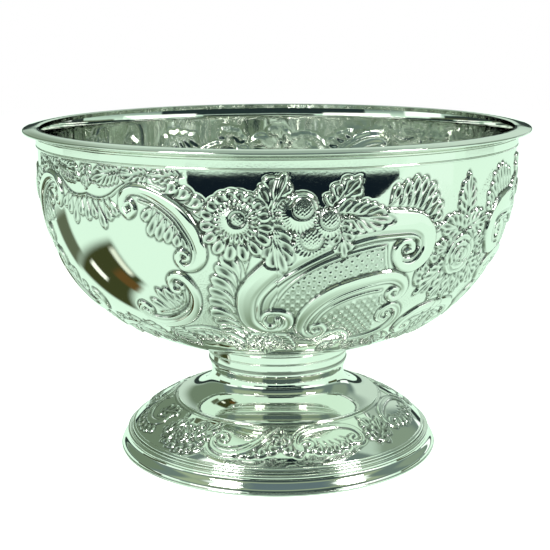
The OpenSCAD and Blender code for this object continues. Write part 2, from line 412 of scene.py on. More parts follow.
    def leaf(self, points: list[Point], width: float, lobes: int = 5, height: float = 1.6,
             flutes: int = 2) -> None:
        """Embosses a leaf: lobes that fan out from its midrib on both sides, and one at its tip.

        Args:
            points: Points of its midrib, from base to tip.
            width: Its greatest width.
            lobes: Number of lobes on each side.
            height: Its height above the sheet.
            flutes: Number of fine flutes along each lobe.
        """
        line = spline(points)
        way = headings(line)
        length = np.hypot(*np.diff(line[:, :2], axis=0).T).sum()
        last = len(line) - 1
        fat = 1.35 * length / (lobes + 1)
        for i in range(lobes):
            share = i / max(1, lobes - 1)
            spread = width / 2 * math.sin(math.pi * (0.3 + 0.5 * share))
            start, bend, end = (int(k * last) for k in (
                0.42 * share, 0.14 + 0.5 * share, 0.3 + 0.56 * share))
            for side in (-1, 1):
                out = side * np.array([-way[end, 1], way[end, 0]])
                spine = [line[start, :2], line[bend, :2] + out * spread * 0.45,
                         line[end, :2] + out * spread * 0.96]
                self.lobe([tuple(p) for p in spine], fat, height * (0.8 + 0.15 * share), 0.55,
                          flutes=flutes, root=0.3, belly=0.76)
        self.lobe([tuple(line[int(0.3 * last), :2]), tuple(line[last, :2])], width * 0.34,
                  height, 0.45, flutes=flutes, root=0.3, belly=0.72)

    def flower(self, centre: Point, radius: float, petals: int, height: float, rings: int,
               eye: float) -> None:
        """Embosses an open flower with rings of petals round a seeded eye.

        Args:
            centre: Middle of the flower.
            radius: Its radius.
            petals: Number of petals in each ring.
            height: Height of its eye.
            rings: Number of rings of petals.
            eye: Radius of its eye, as a share of the flower's.
        """
        for ring in range(rings):
            size = radius * (1 - 0.28 * ring)
            self.petals(centre, petals, radius * eye, size, 0.861 * 2 * math.pi * size / petals,
                        height * (0.6 + 0.15 * ring), 0.35, math.pi * ring / petals,
                        spoon=0.7, root=0.35, belly=0.68)
        self.seeds(centre, radius * eye * 1.25, height)

    def rose(self, centre: Point) -> None:
        """Embosses a rose: a cup with three rings of crescent petals, one inside another."""
        self.cup(centre, 3.0, 12.5, 1.5, 5)
        for radius, petals, turn, height in ((10.2, 5, 0.3, 1.9), (6.6, 4, 1.0, 2.3),
                                             (3.2, 3, 0.2, 2.6)):
            for i in range(petals):
                stroke = []
                for share, width in PETAL_WIDTHS:
                    angle = turn + 2 * math.pi * (i + PETAL_LAP * share) / petals
                    stroke.append((centre[0] + radius * math.cos(angle),
                                   centre[1] + radius * math.sin(angle), width))
                self.band(stroke, height, Section.HOLLOW)

    def seeds(self, centre: Point, radius: float, height: float, edge: float = 0.5) -> None:
        """Embosses a low dome of seeds inside a chased ring."""
        view, x, y = self.window(np.array([centre]), radius + 1)
        if x.size == 0:
            return
        dx, dy = x - centre[0], y - centre[1]
        far = np.hypot(dx, dy)
        grain = np.sin(dx * 3.1 + 0.6 * np.sin(dy * 2.3)) * np.sin(dy * 3.1 + 0.6 * np.sin(dx * 2))
        dome = np.sqrt(np.clip(1 - (far / radius) ** 2, 0, 1))
        within = ease((radius - far) * 1.5)
        face = height * (0.78 + 0.2 * dome) + 0.2 * grain * within
        # Painted shade: the chased ring round the seeds and the troughs between them are painted dark.
        shade = np.maximum(0.7 * bump(far - radius + 0.2, edge), 0.5 * ease(-grain * 1.5))
        self.lay(view, radius - far, face, shade)

    def cup(self, centre: Point, inner: float, outer: float, height: float, ribs: int) -> None:
        """Embosses a pale ribbed cup, such as a ring of stamens, round a flower's eye."""
        view, x, y = self.window(np.array([centre]), outer + 2)
        if x.size == 0:
            return
        dx, dy = x - centre[0], y - centre[1]
        far = np.hypot(dx, dy)
        turn = np.arctan2(dy, dx)
        tips = outer + 0.7 * np.cos(ribs * turn)
        share = np.clip((far - inner) / (outer - inner), 0, 1)
        rib = np.cos(ribs * turn) * ease(share * 2)
        face = height * (1.0 - 0.32 * share) + 0.13 * rib
        # Painted shade in the grooves between the ribs.
        shade = 0.45 * ease(-rib) * ease(share * 1.6 - 0.3)
        self.lay(view, tips - far, face, shade)

    def trellis(self, outline: list[Point], cell: float) -> None:
        """Fills a panel with diamond trellis that has a star in each opening.

        Args:
            outline: Corners of the panel.
            cell: Distance between two lines of the trellis.
        """
        view, x, y, mask = self.panel(outline, 2.0)
        slope = math.cos(math.pi / 4)
        p = slope * (x + y) / cell
        q = slope * (y - x) / cell
        near_p = np.abs(p - np.round(p)) * cell
        near_q = np.abs(q - np.round(q)) * cell
        bars = np.maximum(bump(near_p, 0.4), bump(near_q, 0.4))
        star_p = np.abs(p - np.floor(p) - 0.5) * cell
        star_q = np.abs(q - np.floor(q) - 0.5) * cell
        spread = np.hypot(star_p, star_q) * 0.75 + 0.25 * (np.sqrt(star_p) + np.sqrt(star_q)) ** 2
        star = ease(1.5 - spread / (0.33 * cell))
        face = 0.1 + 0.12 * bars + 0.5 * star
        # Painted shade: the sunk ground round the stars is painted dark, the bars less so.
        shade = 0.42 * (1 - np.maximum(0.4 * bars, star))
        self.height[view] = self.height[view] * (1 - mask) + face * mask
        self.dark[view] = self.dark[view] * (1 - mask) + shade * mask

    def panel(self, outline: list[Point], sigma: float) -> tuple:
        """Finds the cells inside an outline.

        Args:
            outline: Corners of the panel.
            sigma: Softness of its edge, in cells.

        Returns:
            The pair of slices, the places of its cells, and how far each is inside, 0 to 1.
        """
        corners = np.array(outline, float)
        view, x, y = self.window(corners, 1)
        within = np.zeros(x.shape, bool)
        for (x0, y0), (x1, y1) in zip(corners, np.roll(corners, -1, 0)):
            crosses = (y0 > y) != (y1 > y)
            rise = y1 - y0 if y1 != y0 else 1e-9
            within ^= crosses & (x < (x1 - x0) * (y - y0) / rise + x0)
        return view, x, y, soften(within.astype(float), sigma)

    def ground(self, outline: list[Point]) -> None:
        """Mats the ground inside an outline with a fine punch."""
        view, _, _, mask = self.panel(outline, 4.0)
        self.matt[view] = np.maximum(self.matt[view], mask)

    def finished(self, sigma: float) -> "Canvas":
        """Softens the heights, and darkens the hollows: tarnishing that polishing doesn't reach, and
        painted shade.
        """
        self.height = soften(self.height, sigma)
        # Painted shade: each cell is darkened as far as it lies below its blurred surroundings.
        cavity = soften(self.height, 0.9 / self.step) - self.height
        self.dark = np.clip(soften(self.dark, 0.8) * 0.8 + np.clip(cavity * 1.6, 0, 1) * 0.6,
                            0, 1)
        return self

    def read(self, sheet: np.ndarray, across: np.ndarray, down: np.ndarray) -> np.ndarray:
        """Reads one of the drawing's fields at places on it, which may lie off its edge."""
        a = np.clip((across - self.left) / self.step, 0, sheet.shape[1] - 1.001)
        d = np.clip((down - self.top) / self.step, 0, sheet.shape[0] - 1.001)
        i, j = d.astype(int), a.astype(int)
        fd, fa = d - i, a - j
        return ((sheet[i, j] * (1 - fa) + sheet[i, j + 1] * fa) * (1 - fd)
                + (sheet[i + 1, j] * (1 - fa) + sheet[i + 1, j + 1] * fa) * fd)


# --- What is chased on the bowl and on the foot -----------------------------


@dataclass
class BowlChasing:
    """Chased work of the bowl: a quarter turn, mirrored at both of its edges."""

    cartouche_axis: float = -110.0
    rose_axis: float = 112.0
    depth: float = 132.0
    margin: float = 34.0

    def draw(self) -> Canvas:
        """Draws every group in order, from the lowest layer to the highest."""
        sheet = Canvas(self.cartouche_axis - self.margin, self.rose_axis + self.margin,
                       -2.0, self.depth)
        self.draw_grounds(sheet)
        self.draw_under_rim(sheet)
        self.draw_low_leaves(sheet)
        self.draw_cartouche(sheet)
        self.draw_trellis_group(sheet)
        self.draw_rose_group(sheet)
        self.draw_flowers(sheet)
        return sheet.finished(0.8)

    @staticmethod
    def draw_grounds(sheet: Canvas) -> None:
        """Mats the grounds between the scrolls and the leaves."""
        sheet.ground([(-46, 54), (-24, 42), (-22, 60), (-24, 84), (-18, 96), (0, 98), (16, 104),
                      (-6, 112), (-34, 98), (-56, 94)])
        sheet.ground([(64, 6), (90, 8), (112, 24), (112, 78), (96, 80), (80, 84), (80, 58),
                      (90, 44), (86, 28)])

    @staticmethod
    def draw_under_rim(sheet: Canvas) -> None:
        """Hangs a small leaf fringe under the rim, and the swag over the cartouche."""
        for stem, width, lobes in (([(-48, 2.5), (-57, 3.5), (-67, 3)], 7, 4),
                                   ([(-66, 2.5), (-76, 4), (-86, 3.5)], 8, 4),
                                   ([(-84, 3), (-95, 5), (-105, 8.5)], 11, 5),
                                   ([(-110, 1), (-110, 6), (-110, 13)], 9, 3)):
            sheet.leaf(stem, width, lobes, 0.8, 1)
        sheet.bead([(-135, 6), (-122, 12.5), (-110, 17), (-100, 18.3), (-92, 16), (-85, 11.5),
                    (-78, 8)], 1.3, 0.7)
        sheet.lobes((((-110, 19), (-110, 31)), ((-105.5, 19.5), (-103.5, 29)),
                     ((-101, 20), (-97, 34)), ((-96, 19.5), (-91.5, 29)),
                     ((-92, 18), (-86.5, 26))), 5.4, 0.9, 0.4, 0.4, 0.75)

    @staticmethod
    def draw_cartouche(sheet: Canvas) -> None:
        """Draws the two C-scrolls beside the plain cartouche, with their shells and fringes."""
        sheet.lobes((((-63, 18), (-70.5, 27)), ((-60, 20), (-67.5, 35)),
                     ((-56, 22), (-62.5, 37)), ((-52, 26), (-57.5, 38)), ((-49, 30), (-52, 40)),
                     ((-64, 84), (-77, 74)), ((-60, 82), (-70.5, 66)),
                     ((-56, 80), (-65, 65)), ((-53, 76), (-59, 67))), 5.6, 1.1, 0.6, 0.3, 0.75)
        sheet.fringe([(-60, 11), (-50, 15), (-42, 21), (-37, 29)], 5, (9, 12), -1, 0.5, 1.2)
        sheet.fringe([(-20, 100), (-22, 92), (-24, 82), (-23, 70), (-19, 58), (-14, 50)], 9,
                     (18, 19), -1, 0.55, 1.3, 1.3, 0.45, 2)
        sheet.band([(-80, 22, 2.2), (-81.2, 19.8, 2.6), (-77.5, 18, 3.2), (-75.8, 22, 3.8),
                    (-79.8, 25, 4.5), (-83.2, 21, 5), (-82, 15, 5.5), (-77, 11.5, 6),
                    (-70, 11.5, 6.8), (-61, 14.5, 7.8), (-50.5, 21.2, 9), (-44.5, 28.5, 9.5),
                    (-40.7, 36, 8.8), (-39.5, 43.5, 8.5), (-42.5, 49.3, 6.5), (-47.8, 51, 5.5),
                    (-51.6, 48.5, 4.8), (-52, 45.2, 4.3), (-49.8, 42.3, 3.6), (-46.5, 43.5, 3),
                    (-46.3, 46.3, 2.5), (-48.5, 46.8, 2.2)], 1.6, Section.SCROLL, (-70, 30))
        sheet.band([(-55.5, 61, 2.2), (-53, 62.5, 2.6), (-54, 66, 3), (-58.5, 65.5, 3.6),
                    (-60, 60.5, 4), (-56.5, 56.5, 4.5), (-51, 57, 5.5), (-47.5, 62, 6),
                    (-46, 69, 6.8), (-48.5, 77, 7.8), (-55, 84, 8.8), (-65, 89.5, 9),
                    (-76, 91.5, 8.6), (-85.5, 89, 7), (-89.5, 83, 5.5), (-85.5, 78.5, 4.5),
                    (-81, 81.5, 3.8), (-82.5, 85.5, 3), (-85.3, 84, 2.5)], 1.6,
                   Section.SCROLL, (-70, 70))
        sheet.bead([(-72, 17), (-62, 20), (-53, 27), (-47.5, 36), (-46.5, 40)], 1.2, 0.5)
        sheet.bead([(-52.5, 66), (-54, 74), (-62, 80), (-74, 84)], 1.2, 0.5)

    @staticmethod
    def draw_trellis_group(sheet: Canvas) -> None:
        """Draws the two great C-scrolls, one inside the other, with trellis between them."""
        sheet.trellis([(1, 72), (5, 64), (12, 57), (20, 51.5), (30, 47), (40, 43.5), (50, 41.5),
                       (58, 41), (60, 54), (50, 55), (40, 57.5), (30, 62), (20, 69), (13, 77),
                       (9, 80), (4, 77)], 4.0)
        sheet.trellis([(23, 90), (29, 82), (37, 76), (46, 71.5), (58, 68.5), (63, 73), (62, 80),
                       (62, 88), (65, 96), (60, 102), (50, 105), (47, 99), (42, 95), (36, 95),
                       (32, 97), (29, 91)], 4.5)
        sheet.lobes((((58, 19), (64, 8.5)), ((64, 19.5), (69.5, 6.5)), ((69, 20), (75, 4.5)),
                     ((73, 20.5), (80.5, 5.5)), ((76, 22), (86, 9)), ((79, 24), (88.5, 14.5)),
                     ((82, 27), (92, 19.5)), ((84, 31), (91.5, 25)), ((86, 36), (91, 31.5))),
                    5.4, 1.3, 0.7, 0.4, 0.74)
        sheet.fringe([(88.5, 44), (87, 50), (82, 55), (80, 62)], 4, (8, 8), -1, 0.5, 1.1)
        sheet.band([(42, 109, 3), (55, 107.5, 4), (68, 103.5, 5), (76.5, 97, 5.5),
                    (79, 89, 5.5), (76.5, 81.5, 5), (70.5, 78, 4.4), (64.8, 81.5, 4),
                    (64.8, 87, 3.8), (69.5, 90, 3.4), (73.2, 87, 3), (71, 84.2, 2.6)], 1.3,
                   Section.HOLLOW)
        sheet.band([(29, 105, 3), (33.5, 99.5, 4), (40, 97.3, 4.6), (45.8, 100, 4.6),
                    (48.5, 106, 4), (45.5, 109.5, 3)], 1.1, Section.HOLLOW)
        sheet.band([(26.5, 95, 2.4), (24.2, 96.6, 2.6), (21.6, 94, 3), (22.6, 90.4, 3.2),
                    (27, 89.8, 4), (30, 94.4, 4.6), (27.4, 99, 5), (21, 99.8, 6),
                    (16, 95.5, 7.5), (14.8, 89, 8.6), (17.5, 80, 9.6), (24, 71.5, 10),
                    (33, 65, 9.6), (44, 61, 9), (54, 58.8, 8.4), (64, 58.3, 8),
                    (71, 61, 7.4), (75, 66, 6), (73.8, 71.5, 5), (69, 73.2, 4.4),
                    (65.5, 70, 4), (67, 66.6, 3.4), (70.6, 67, 3), (70.8, 69.6, 2.5)], 1.4,
                   Section.SCROLL, (40, 90))
        sheet.band([(71, 44.3, 3.4), (74.3, 43, 4.2), (72.8, 39.2, 4.7), (68.8, 38.2, 4.8),
                    (65.2, 41, 5.2), (65.2, 46.2, 6), (69, 50.8, 8), (76, 51.2, 10),
                    (81.6, 46.5, 11.3), (83.2, 40, 11.8), (80.6, 33.8, 13.2), (73.5, 29.8, 15),
                    (62, 28.8, 16.4), (50, 29, 16.8), (40, 30.8, 17), (30, 34, 17),
                    (20, 38.5, 16.6), (10, 44, 16), (-1, 51.5, 15.4), (-9.5, 60, 15),
                    (-14.2, 68, 15), (-15.4, 78, 13.6), (-13.6, 86, 11.4), (-6, 92, 6.4),
                    (1.5, 92, 5.6), (6, 87.6, 7), (5.8, 82, 7), (2.6, 78.6, 5.2),
                    (-2.4, 77.8, 4), (-6.7, 80.4, 3.6), (-7.8, 85, 3.3), (-5.3, 89.2, 3.1),
                    (-1.4, 89.3, 3), (0.8, 86.5, 3), (0.6, 84, 3)], 1.8, Section.SCROLL,
                   (30, 70))
        sheet.bead([(-2.6, 75), (-1, 70.5), (4, 62.8), (11, 56), (20, 50.2), (30, 45.8),
                    (40, 42.8), (50, 40.8), (58, 40)], 1.5, 0.8)
        sheet.bead([(23.5, 87), (27, 80), (33, 74.5), (42, 70), (52, 67.4), (60, 66.6)], 1.4,
                   0.8)
        sheet.bead([(58, 41), (58.8, 47), (60.5, 53)], 1.5, 0.7)
        sheet.bead([(61, 71), (62, 75), (64.5, 76.5)], 1.3, 0.6)

    @staticmethod
    def draw_flowers(sheet: Canvas) -> None:
        """Draws the spray of flowers and leaves that lies over the great scroll."""
        sheet.leaf([(27, 19), (33, 13), (42, 4)], 13, 3, 1.7)
        sheet.leaf([(30, 22), (44, 23.5), (60, 26)], 14, 5, 1.8)
        sheet.leaf([(31, 26), (33, 34), (35, 45)], 11, 3, 1.7)
        sheet.leaf([(-4, 24), (0, 38), (4, 52)], 15, 4, 1.8)
        sheet.leaf([(-3, 25), (-1, 12), (4, 0.5)], 14, 3, 1.7)
        sheet.lobe([(-4, 22), (-4, 14), (-7, 7)], 6, 1.6, 0.5, flutes=1)
        sheet.cup((16.5, 34), 3.0, 8.0, 1.7, 26)
        sheet.seeds((17.3, 34), 5.6, 2.0)
        sheet.cup((25.5, 26), 3.0, 7.0, 1.7, 22)
        sheet.seeds((26.4, 24), 5.0, 2.2)
        sheet.cup((10.5, 20.5), 4.0, 9.4, 2.0, 30)
        sheet.band([(5.6, 16, 1.6), (8.6, 12.8, 2.2), (13, 11.6, 2.6), (17.4, 13.8, 2.4),
                    (19.6, 18.4, 1.6)], 2.2, Section.ROUND)
        sheet.seeds((12.8, 17.8), 5.2, 2.3)
        sheet.petals((-19.5, 24.5), 16, 7, 18.6, 6.6, 1.5, 0.75, turn=0.2, sag=3.2)
        sheet.petals((-19.5, 24.5), 24, 6, 11.2, 2.4, 1.8, 0.0, sag=0.8, root=0.6, belly=0.6)
        sheet.cup((-20, 24.5), 3.6, 7.6, 2.5, 30)
        sheet.seeds((-18.6, 23.6), 3.7, 2.1, 0.8)

    @staticmethod
    def draw_rose_group(sheet: Canvas) -> None:
        """Draws the rose with its leaves, which stands on the other mirror line."""
        for stem, width, lobes in (([(112, 32), (112, 18), (112, 6)], 13, 4),
                                   ([(113, 38), (103, 34), (91, 32)], 14, 4),
                                   ([(106, 48), (98, 45), (90, 43)], 9, 3),
                                   ([(104, 55), (95, 62), (85, 73)], 13, 4),
                                   ([(107, 60), (103, 69), (100, 79)], 10, 3),
                                   ([(112, 60), (112, 70), (112, 80)], 10, 3)):
            sheet.leaf(stem, width, lobes, 1.4)
        sheet.rose((112, 51))

    @staticmethod
    def draw_low_leaves(sheet: Canvas) -> None:
        """Draws the arches and the sprays that run down to the plain bottom."""
        for stem, width in (([(-5, 97), (-7, 110), (-8, 126)], 15),
                            ([(-2, 97), (4, 108), (13, 119)], 13),
                            ([(-9, 97), (-15, 107), (-24, 117)], 13),
                            ([(56, 108), (58, 116), (62, 127)], 13),
                            ([(70, 104), (76, 114), (84, 124)], 13),
                            ([(40, 109), (38, 116), (34, 126)], 12),
                            ([(112, 90), (112, 104), (112, 122)], 16),
                            ([(106, 92), (102, 106), (98, 120)], 13),
                            ([(-110, 92), (-110, 104), (-110, 120)], 16),
                            ([(-98, 96), (-92, 106), (-88, 119)], 14),
                            ([(-74, 97), (-68, 106), (-62, 118)], 14)):
            sheet.leaf(stem, width, 5, 1.2)
        sheet.fringe([(-58, 100), (-46, 98), (-36, 101), (-28, 108), (-25, 116)], 7, (7, 9), 1,
                     0.3, 1.1)
        sheet.band([(-62, 97, 3), (-48, 94.5, 4.4), (-36, 97, 5), (-27, 103, 5),
                    (-22, 111, 4.4), (-24, 118, 3.6), (-29, 117, 3)], 1.2, Section.HOLLOW)
        sheet.band([(-132, 106, 4), (-121, 101.5, 5), (-110, 100, 5.6), (-99, 101.5, 5),
                    (-88, 106, 4), (-84, 112, 3)], 1.2, Section.HOLLOW)
        sheet.band([(112, 84, 7), (104, 84.5, 7.5), (95, 87.2, 8), (89.2, 93.5, 8),
                    (88.6, 101, 7), (93, 105, 5.4), (98, 102.4, 4.6), (97, 98, 4),
                    (93.4, 98, 3), (93.6, 100.6, 2.5)], 1.3, Section.SCROLL, (108, 98))
        sheet.band([(120, 84.5, 7.5), (116, 84, 7), (112, 84, 7)], 1.3, Section.SCROLL, (112, 98))


@dataclass
class FootChasing:
    """Chased work of the foot's dome: half a turn, which comes twice."""

    half: float = 119.3
    depth: float = 32.0
    margin: float = 20.0

    def draw(self) -> Canvas:
        """Draws the scrolls, shells and leaves of the foot."""
        edge = self.half + self.margin
        sheet = Canvas(-edge, edge, 0.0, self.depth)
        for shift in (-2 * self.half, 0.0, 2 * self.half):
            self.draw_half(sheet, shift)
        return sheet.finished(0.9)

    @staticmethod
    def draw_half(sheet: Canvas, shift: float) -> None:
        """Draws one half turn, moved along by a shift."""

        def at(points: list[tuple[float, ...]]) -> list[tuple[float, ...]]:
            """The points, moved along."""
            return [(p[0] + shift, *p[1:]) for p in points]

        for stem, width, lobes in (([(-98, 12), (-90, 9), (-78, 8)], 9, 3),
                                   ([(-72, 24), (-68, 16), (-64, 7)], 10, 3),
                                   ([(-50, 20), (-44, 12), (-40, 4)], 10, 3),
                                   ([(60, 24), (62, 14), (60, 4)], 11, 3),
                                   ([(60, 24), (68, 17), (73, 9)], 10, 3)):
            sheet.leaf(at(stem), width, lobes, 0.9, 1)
        sheet.fringe(at([(-112, 18), (-104, 22), (-94, 23), (-86, 21)]), 6, (7, 7), 1, 0.2, 0.8)
        sheet.fringe(at([(4, 6), (-4, 15), (-14, 19), (-24, 19)]), 7, (9, 7), -1, 0.35, 0.9, 1.3)
        sheet.fringe(at([(4, 6), (5, 14), (12, 19)]), 4, (9, 7), 1, 0.3, 0.9, 1.3)
        for left in (17, 85):
            stem = [(left, 14), (left + 8, 17), (left + 16, 17), (left + 24, 14)]
            sheet.fringe(at(stem), 6, (8, 8), 1, 0.0, 0.8, 1.1)
        sheet.fringe(at([(-42, 22), (-50, 25), (-58, 26), (-68, 24)]), 5, (4, 4), -1, 0.2, 0.7)
        sheet.band(at([(-114, 5, 3), (-116.5, 8.5, 3), (-113, 13.5, 3.6), (-107, 18.5, 4.2),
                       (-98, 21.6, 4.4), (-89, 20.5, 4), (-83, 16, 3.4), (-84.5, 11.5, 2.8),
                       (-88, 13.4, 2.2)]), 0.9, Section.HOLLOW)
        sheet.band(at([(-33, 15.5, 2), (-30.4, 16, 2.4), (-31, 12.6, 2.8), (-35, 11.6, 3.2),
                       (-38, 15.5, 3.6), (-36, 21, 4.2), (-28, 23.6, 5.6), (-19, 21.4, 6),
                       (-11, 14.6, 5), (-5, 7, 3.4), (-1, 3.4, 2.2)]), 1.0, Section.HOLLOW)
        for left in (8.0, 76.0):
            sheet.band(at([(left + 9, 19.6, 2), (left + 11.4, 17.6, 2.4), (left + 9.4, 15, 2.8),
                           (left + 5, 16.6, 3), (left + 4.6, 21, 3.2), (left + 2, 17, 3.2),
                           (left + 4.6, 9.6, 3.8), (left + 13, 5.6, 4.2), (left + 23, 4.6, 4.4),
                           (left + 33, 5.8, 4.2), (left + 41, 10, 3.8), (left + 43.4, 17, 3.2),
                           (left + 40.6, 21, 3), (left + 36, 20, 2.8), (left + 35, 16.6, 2.4),
                           (left + 38, 15.4, 2)]), 0.9, Section.HOLLOW)
        sheet.flower((-58 + shift, 17), 7, 8, 1.2, 2, 0.3)
        sheet.flower((-51 + shift, 9), 4.2, 7, 1.1, 1, 0.4)
        sheet.bead(at([(-119.5, 1.6), (0, 1.6), (119.5, 1.6)]), 1.0, 0.4)


# --- Finishes ---------------------------------------------------------------


class Nodes:
    """A short way to add and join the nodes of one tree."""

    def __init__(self, tree: bpy.types.NodeTree) -> None:
        """Takes the tree that the nodes go into."""
        self.tree = tree

    def add(self, kind: str, inputs: dict | None = None, **settings: object) -> bpy.types.Node:
        """Adds a node.

        Args:
            kind: The node's type name, without "ShaderNode".
            inputs: What each named or numbered socket gets: a socket to join, or a value.
            settings: Properties of the node.

        Returns:
            The new node.
        """
        node = self.tree.nodes.new("ShaderNode" + kind)
        for key, value in settings.items():
            setattr(node, key, value)
        for key, value in (inputs or {}).items():
            if isinstance(value, bpy.types.NodeSocket):
                self.tree.links.new(value, node.inputs[key])
            else:
                node.inputs[key].default_value = value
        return node

    def math(self, operation: str, *values: object) -> bpy.types.NodeSocket:
        """Adds a Math node and returns its result."""
        node = self.add("Math", dict(enumerate(values)), operation=operation)
        return node.outputs[0]

    def blend(self, share: object, a: object, b: object) -> bpy.types.NodeSocket:
        """Mixes two colours and returns the result."""
        node = self.add("Mix", {"Factor": share, 6: a, 7: b}, data_type="RGBA")
        return node.outputs[2]


# Fine wipe marks and the slow waves of raised sheet: their scales, and the marks' height.
RUB_SCALE, SWELL_SCALE, RUB_HEIGHT = 900.0, 28.0, 0.004
# How much of the haze comes from the slow cloud and how much from the wipe marks.
CLOUD_SHARE, RUB_SHARE = 0.6, 0.4
# The part of the haze's range that goes from the clearest to the haziest polish.
HAZE_LOW, HAZE_HIGH = 0.3, 0.72
# What turns the silver's colour into the warmer one of its hazy places.
WARMTH = (0.97, 0.965, 0.93)


def polish_group() -> bpy.types.NodeTree:
    """Builds the group that every polished face shares: haze, wipe marks and hand-raised waves.

    Returns:
        A group with the Scale of the haze and the height of the Waves in, and Haze and Height out.
    """
    tree = bpy.data.node_groups.new("hand_polish", "ShaderNodeTree")
    tree.interface.new_socket("Scale", in_out="INPUT", socket_type="NodeSocketFloat")
    tree.interface.new_socket("Waves", in_out="INPUT", socket_type="NodeSocketFloat")
    tree.interface.new_socket("Haze", in_out="OUTPUT", socket_type="NodeSocketFloat")
    tree.interface.new_socket("Height", in_out="OUTPUT", socket_type="NodeSocketFloat")
    nodes = Nodes(tree)
    given = tree.nodes.new("NodeGroupInput")
    result = tree.nodes.new("NodeGroupOutput")
    place = nodes.add("TexCoord").outputs["Object"]
    cloud = nodes.add("TexNoise", {"Vector": place, "Scale": given.outputs["Scale"],
                                   "Detail": 4.0}).outputs["Fac"]
    rub = nodes.add("TexNoise", {"Vector": place, "Scale": RUB_SCALE,
                                 "Detail": 3.0}).outputs["Fac"]
    swell = nodes.add("TexNoise", {"Vector": place, "Scale": SWELL_SCALE,
                                   "Detail": 1.0}).outputs["Fac"]
    haze = nodes.math("ADD", nodes.math("MULTIPLY", cloud, CLOUD_SHARE),
                      nodes.math("MULTIPLY", rub, RUB_SHARE))
    height = nodes.math("ADD", nodes.math("MULTIPLY", swell, given.outputs["Waves"]),
                        nodes.math("MULTIPLY", rub, RUB_HEIGHT))
    tree.links.new(haze, result.inputs["Haze"])
    tree.links.new(height, result.inputs["Height"])
    return tree


@dataclass(frozen=True)
class Silver:
    """A silver finish: how bright, how hazy and how hand-worked it is."""

    name: str
    colour: tuple[float, float, float] = (0.885, 0.905, 0.875)
    # Colour, share and roughness laid where the chased sheet is dark: tarnishing, and painted shade of
    # its hollows, lines and slopes.
    tarnish_and_painted_shade: tuple[float, float, float] = (0.07, 0.085, 0.07)
    low_rough: float = 0.02
    high_rough: float = 0.07
    waves: float = 0.12
    grain: float = 6.0
    chased: bool = False
    tarnish_and_painted_shade_share: float = 0.95
    tarnish_and_painted_shade_rough: float = 0.22
    matt_rough: float = 0.12
    punch_scale: float = 950.0
    punch_depth: float = 0.12

    def make(self, polish: bpy.types.NodeTree) -> bpy.types.Material:
        """Builds the material.

        Args:
            polish: The group that gives the haze and the height of a polished face.

        Returns:
            The finished material.
        """
        material = bpy.data.materials.new(self.name)
        material.use_nodes = True
        tree = material.node_tree
        tree.nodes.clear()
        nodes = Nodes(tree)
        group = tree.nodes.new("ShaderNodeGroup")
        group.node_tree = polish
        group.inputs["Scale"].default_value = self.grain
        group.inputs["Waves"].default_value = self.waves
        haze, height = group.outputs["Haze"], group.outputs["Height"]
        rough = nodes.add("MapRange", {0: haze, 1: HAZE_LOW, 2: HAZE_HIGH, 3: self.low_rough,
                                       4: self.high_rough}).outputs[0]
        warm = tuple(c * f for c, f in zip(self.colour, WARMTH))
        colour = nodes.blend(haze, (*self.colour, 1.0), (*warm, 1.0))
        if self.chased:
            colour, rough, height = self.work(nodes, colour, rough, height)
        normal = nodes.add("Bump", {"Height": height, "Strength": 1.0, "Distance": MM})
        shader = nodes.add("BsdfPrincipled", {
            "Base Color": colour, "Roughness": rough, "Normal": normal.outputs[0],
            "Metallic": 1.0})
        nodes.add("OutputMaterial", {"Surface": shader.outputs[0]})
        return material

    def work(self, nodes: Nodes, colour: bpy.types.NodeSocket, rough: bpy.types.NodeSocket,
             height: bpy.types.NodeSocket) -> tuple[bpy.types.NodeSocket, ...]:
        """Adds the tarnishing and painted shade of the hollows, and the punched matting of the grounds.

        Args:
            nodes: The material's nodes.
            colour: Colour of the plain polish.
            rough: Roughness of the plain polish.
            height: Height of the plain polish.

        Returns:
            The colour, roughness and height of the chased sheet.
        """
        # The sheet's darkness is tarnishing, and painted shade in its hollows, chased lines and
        # turned-down slopes.
        dark = nodes.add("Attribute", attribute_name="patina_and_painted_shade").outputs["Fac"]
        matt = nodes.add("Attribute", attribute_name="matting").outputs["Fac"]
        place = nodes.add("TexCoord").outputs["Object"]
        punch = nodes.add("TexVoronoi", {"Vector": place,
                                         "Scale": self.punch_scale}).outputs["Distance"]
        tarnish_and_painted_shade = nodes.math("MULTIPLY", dark, self.tarnish_and_painted_shade_share)
        colour = nodes.blend(tarnish_and_painted_shade, colour, (*self.tarnish_and_painted_shade, 1.0))
        rough = nodes.math("ADD", rough, nodes.math("MULTIPLY", dark, self.tarnish_and_painted_shade_rough))
        rough = nodes.math("ADD", rough, nodes.math("MULTIPLY", matt, self.matt_rough))
        dents = nodes.math("MULTIPLY", nodes.math("MULTIPLY", matt, punch), self.punch_depth)
        return colour, rough, nodes.math("ADD", height, dents)


# --- Pieces -----------------------------------------------------------------


def deselect() -> None:
    """Leaves edit mode and selects nothing."""
    if bpy.context.object is not None and bpy.context.object.mode != "OBJECT":
        bpy.ops.object.mode_set(mode="OBJECT")
    bpy.ops.object.select_all(action="DESELECT")


def dress(piece: bpy.types.Object, name: str, material: bpy.types.Material,
          nodes: tuple[str, ...]) -> bpy.types.Object:
    """Names a finished piece, gives it its finish and ties it to the frame.

    Args:
        piece: The piece.
        name: Its name.
        material: Its finish.
        nodes: The frame's nodes that the piece stands for.

    Returns:
        The same piece.
    """
    piece.name = name
    piece.data.name = name
    piece.data.materials.clear()
    piece.data.materials.append(material)
    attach(piece, BODY)
    if nodes:
        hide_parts(*nodes)
    LOG.info("%s: %d faces", name, len(piece.data.polygons))
    return piece


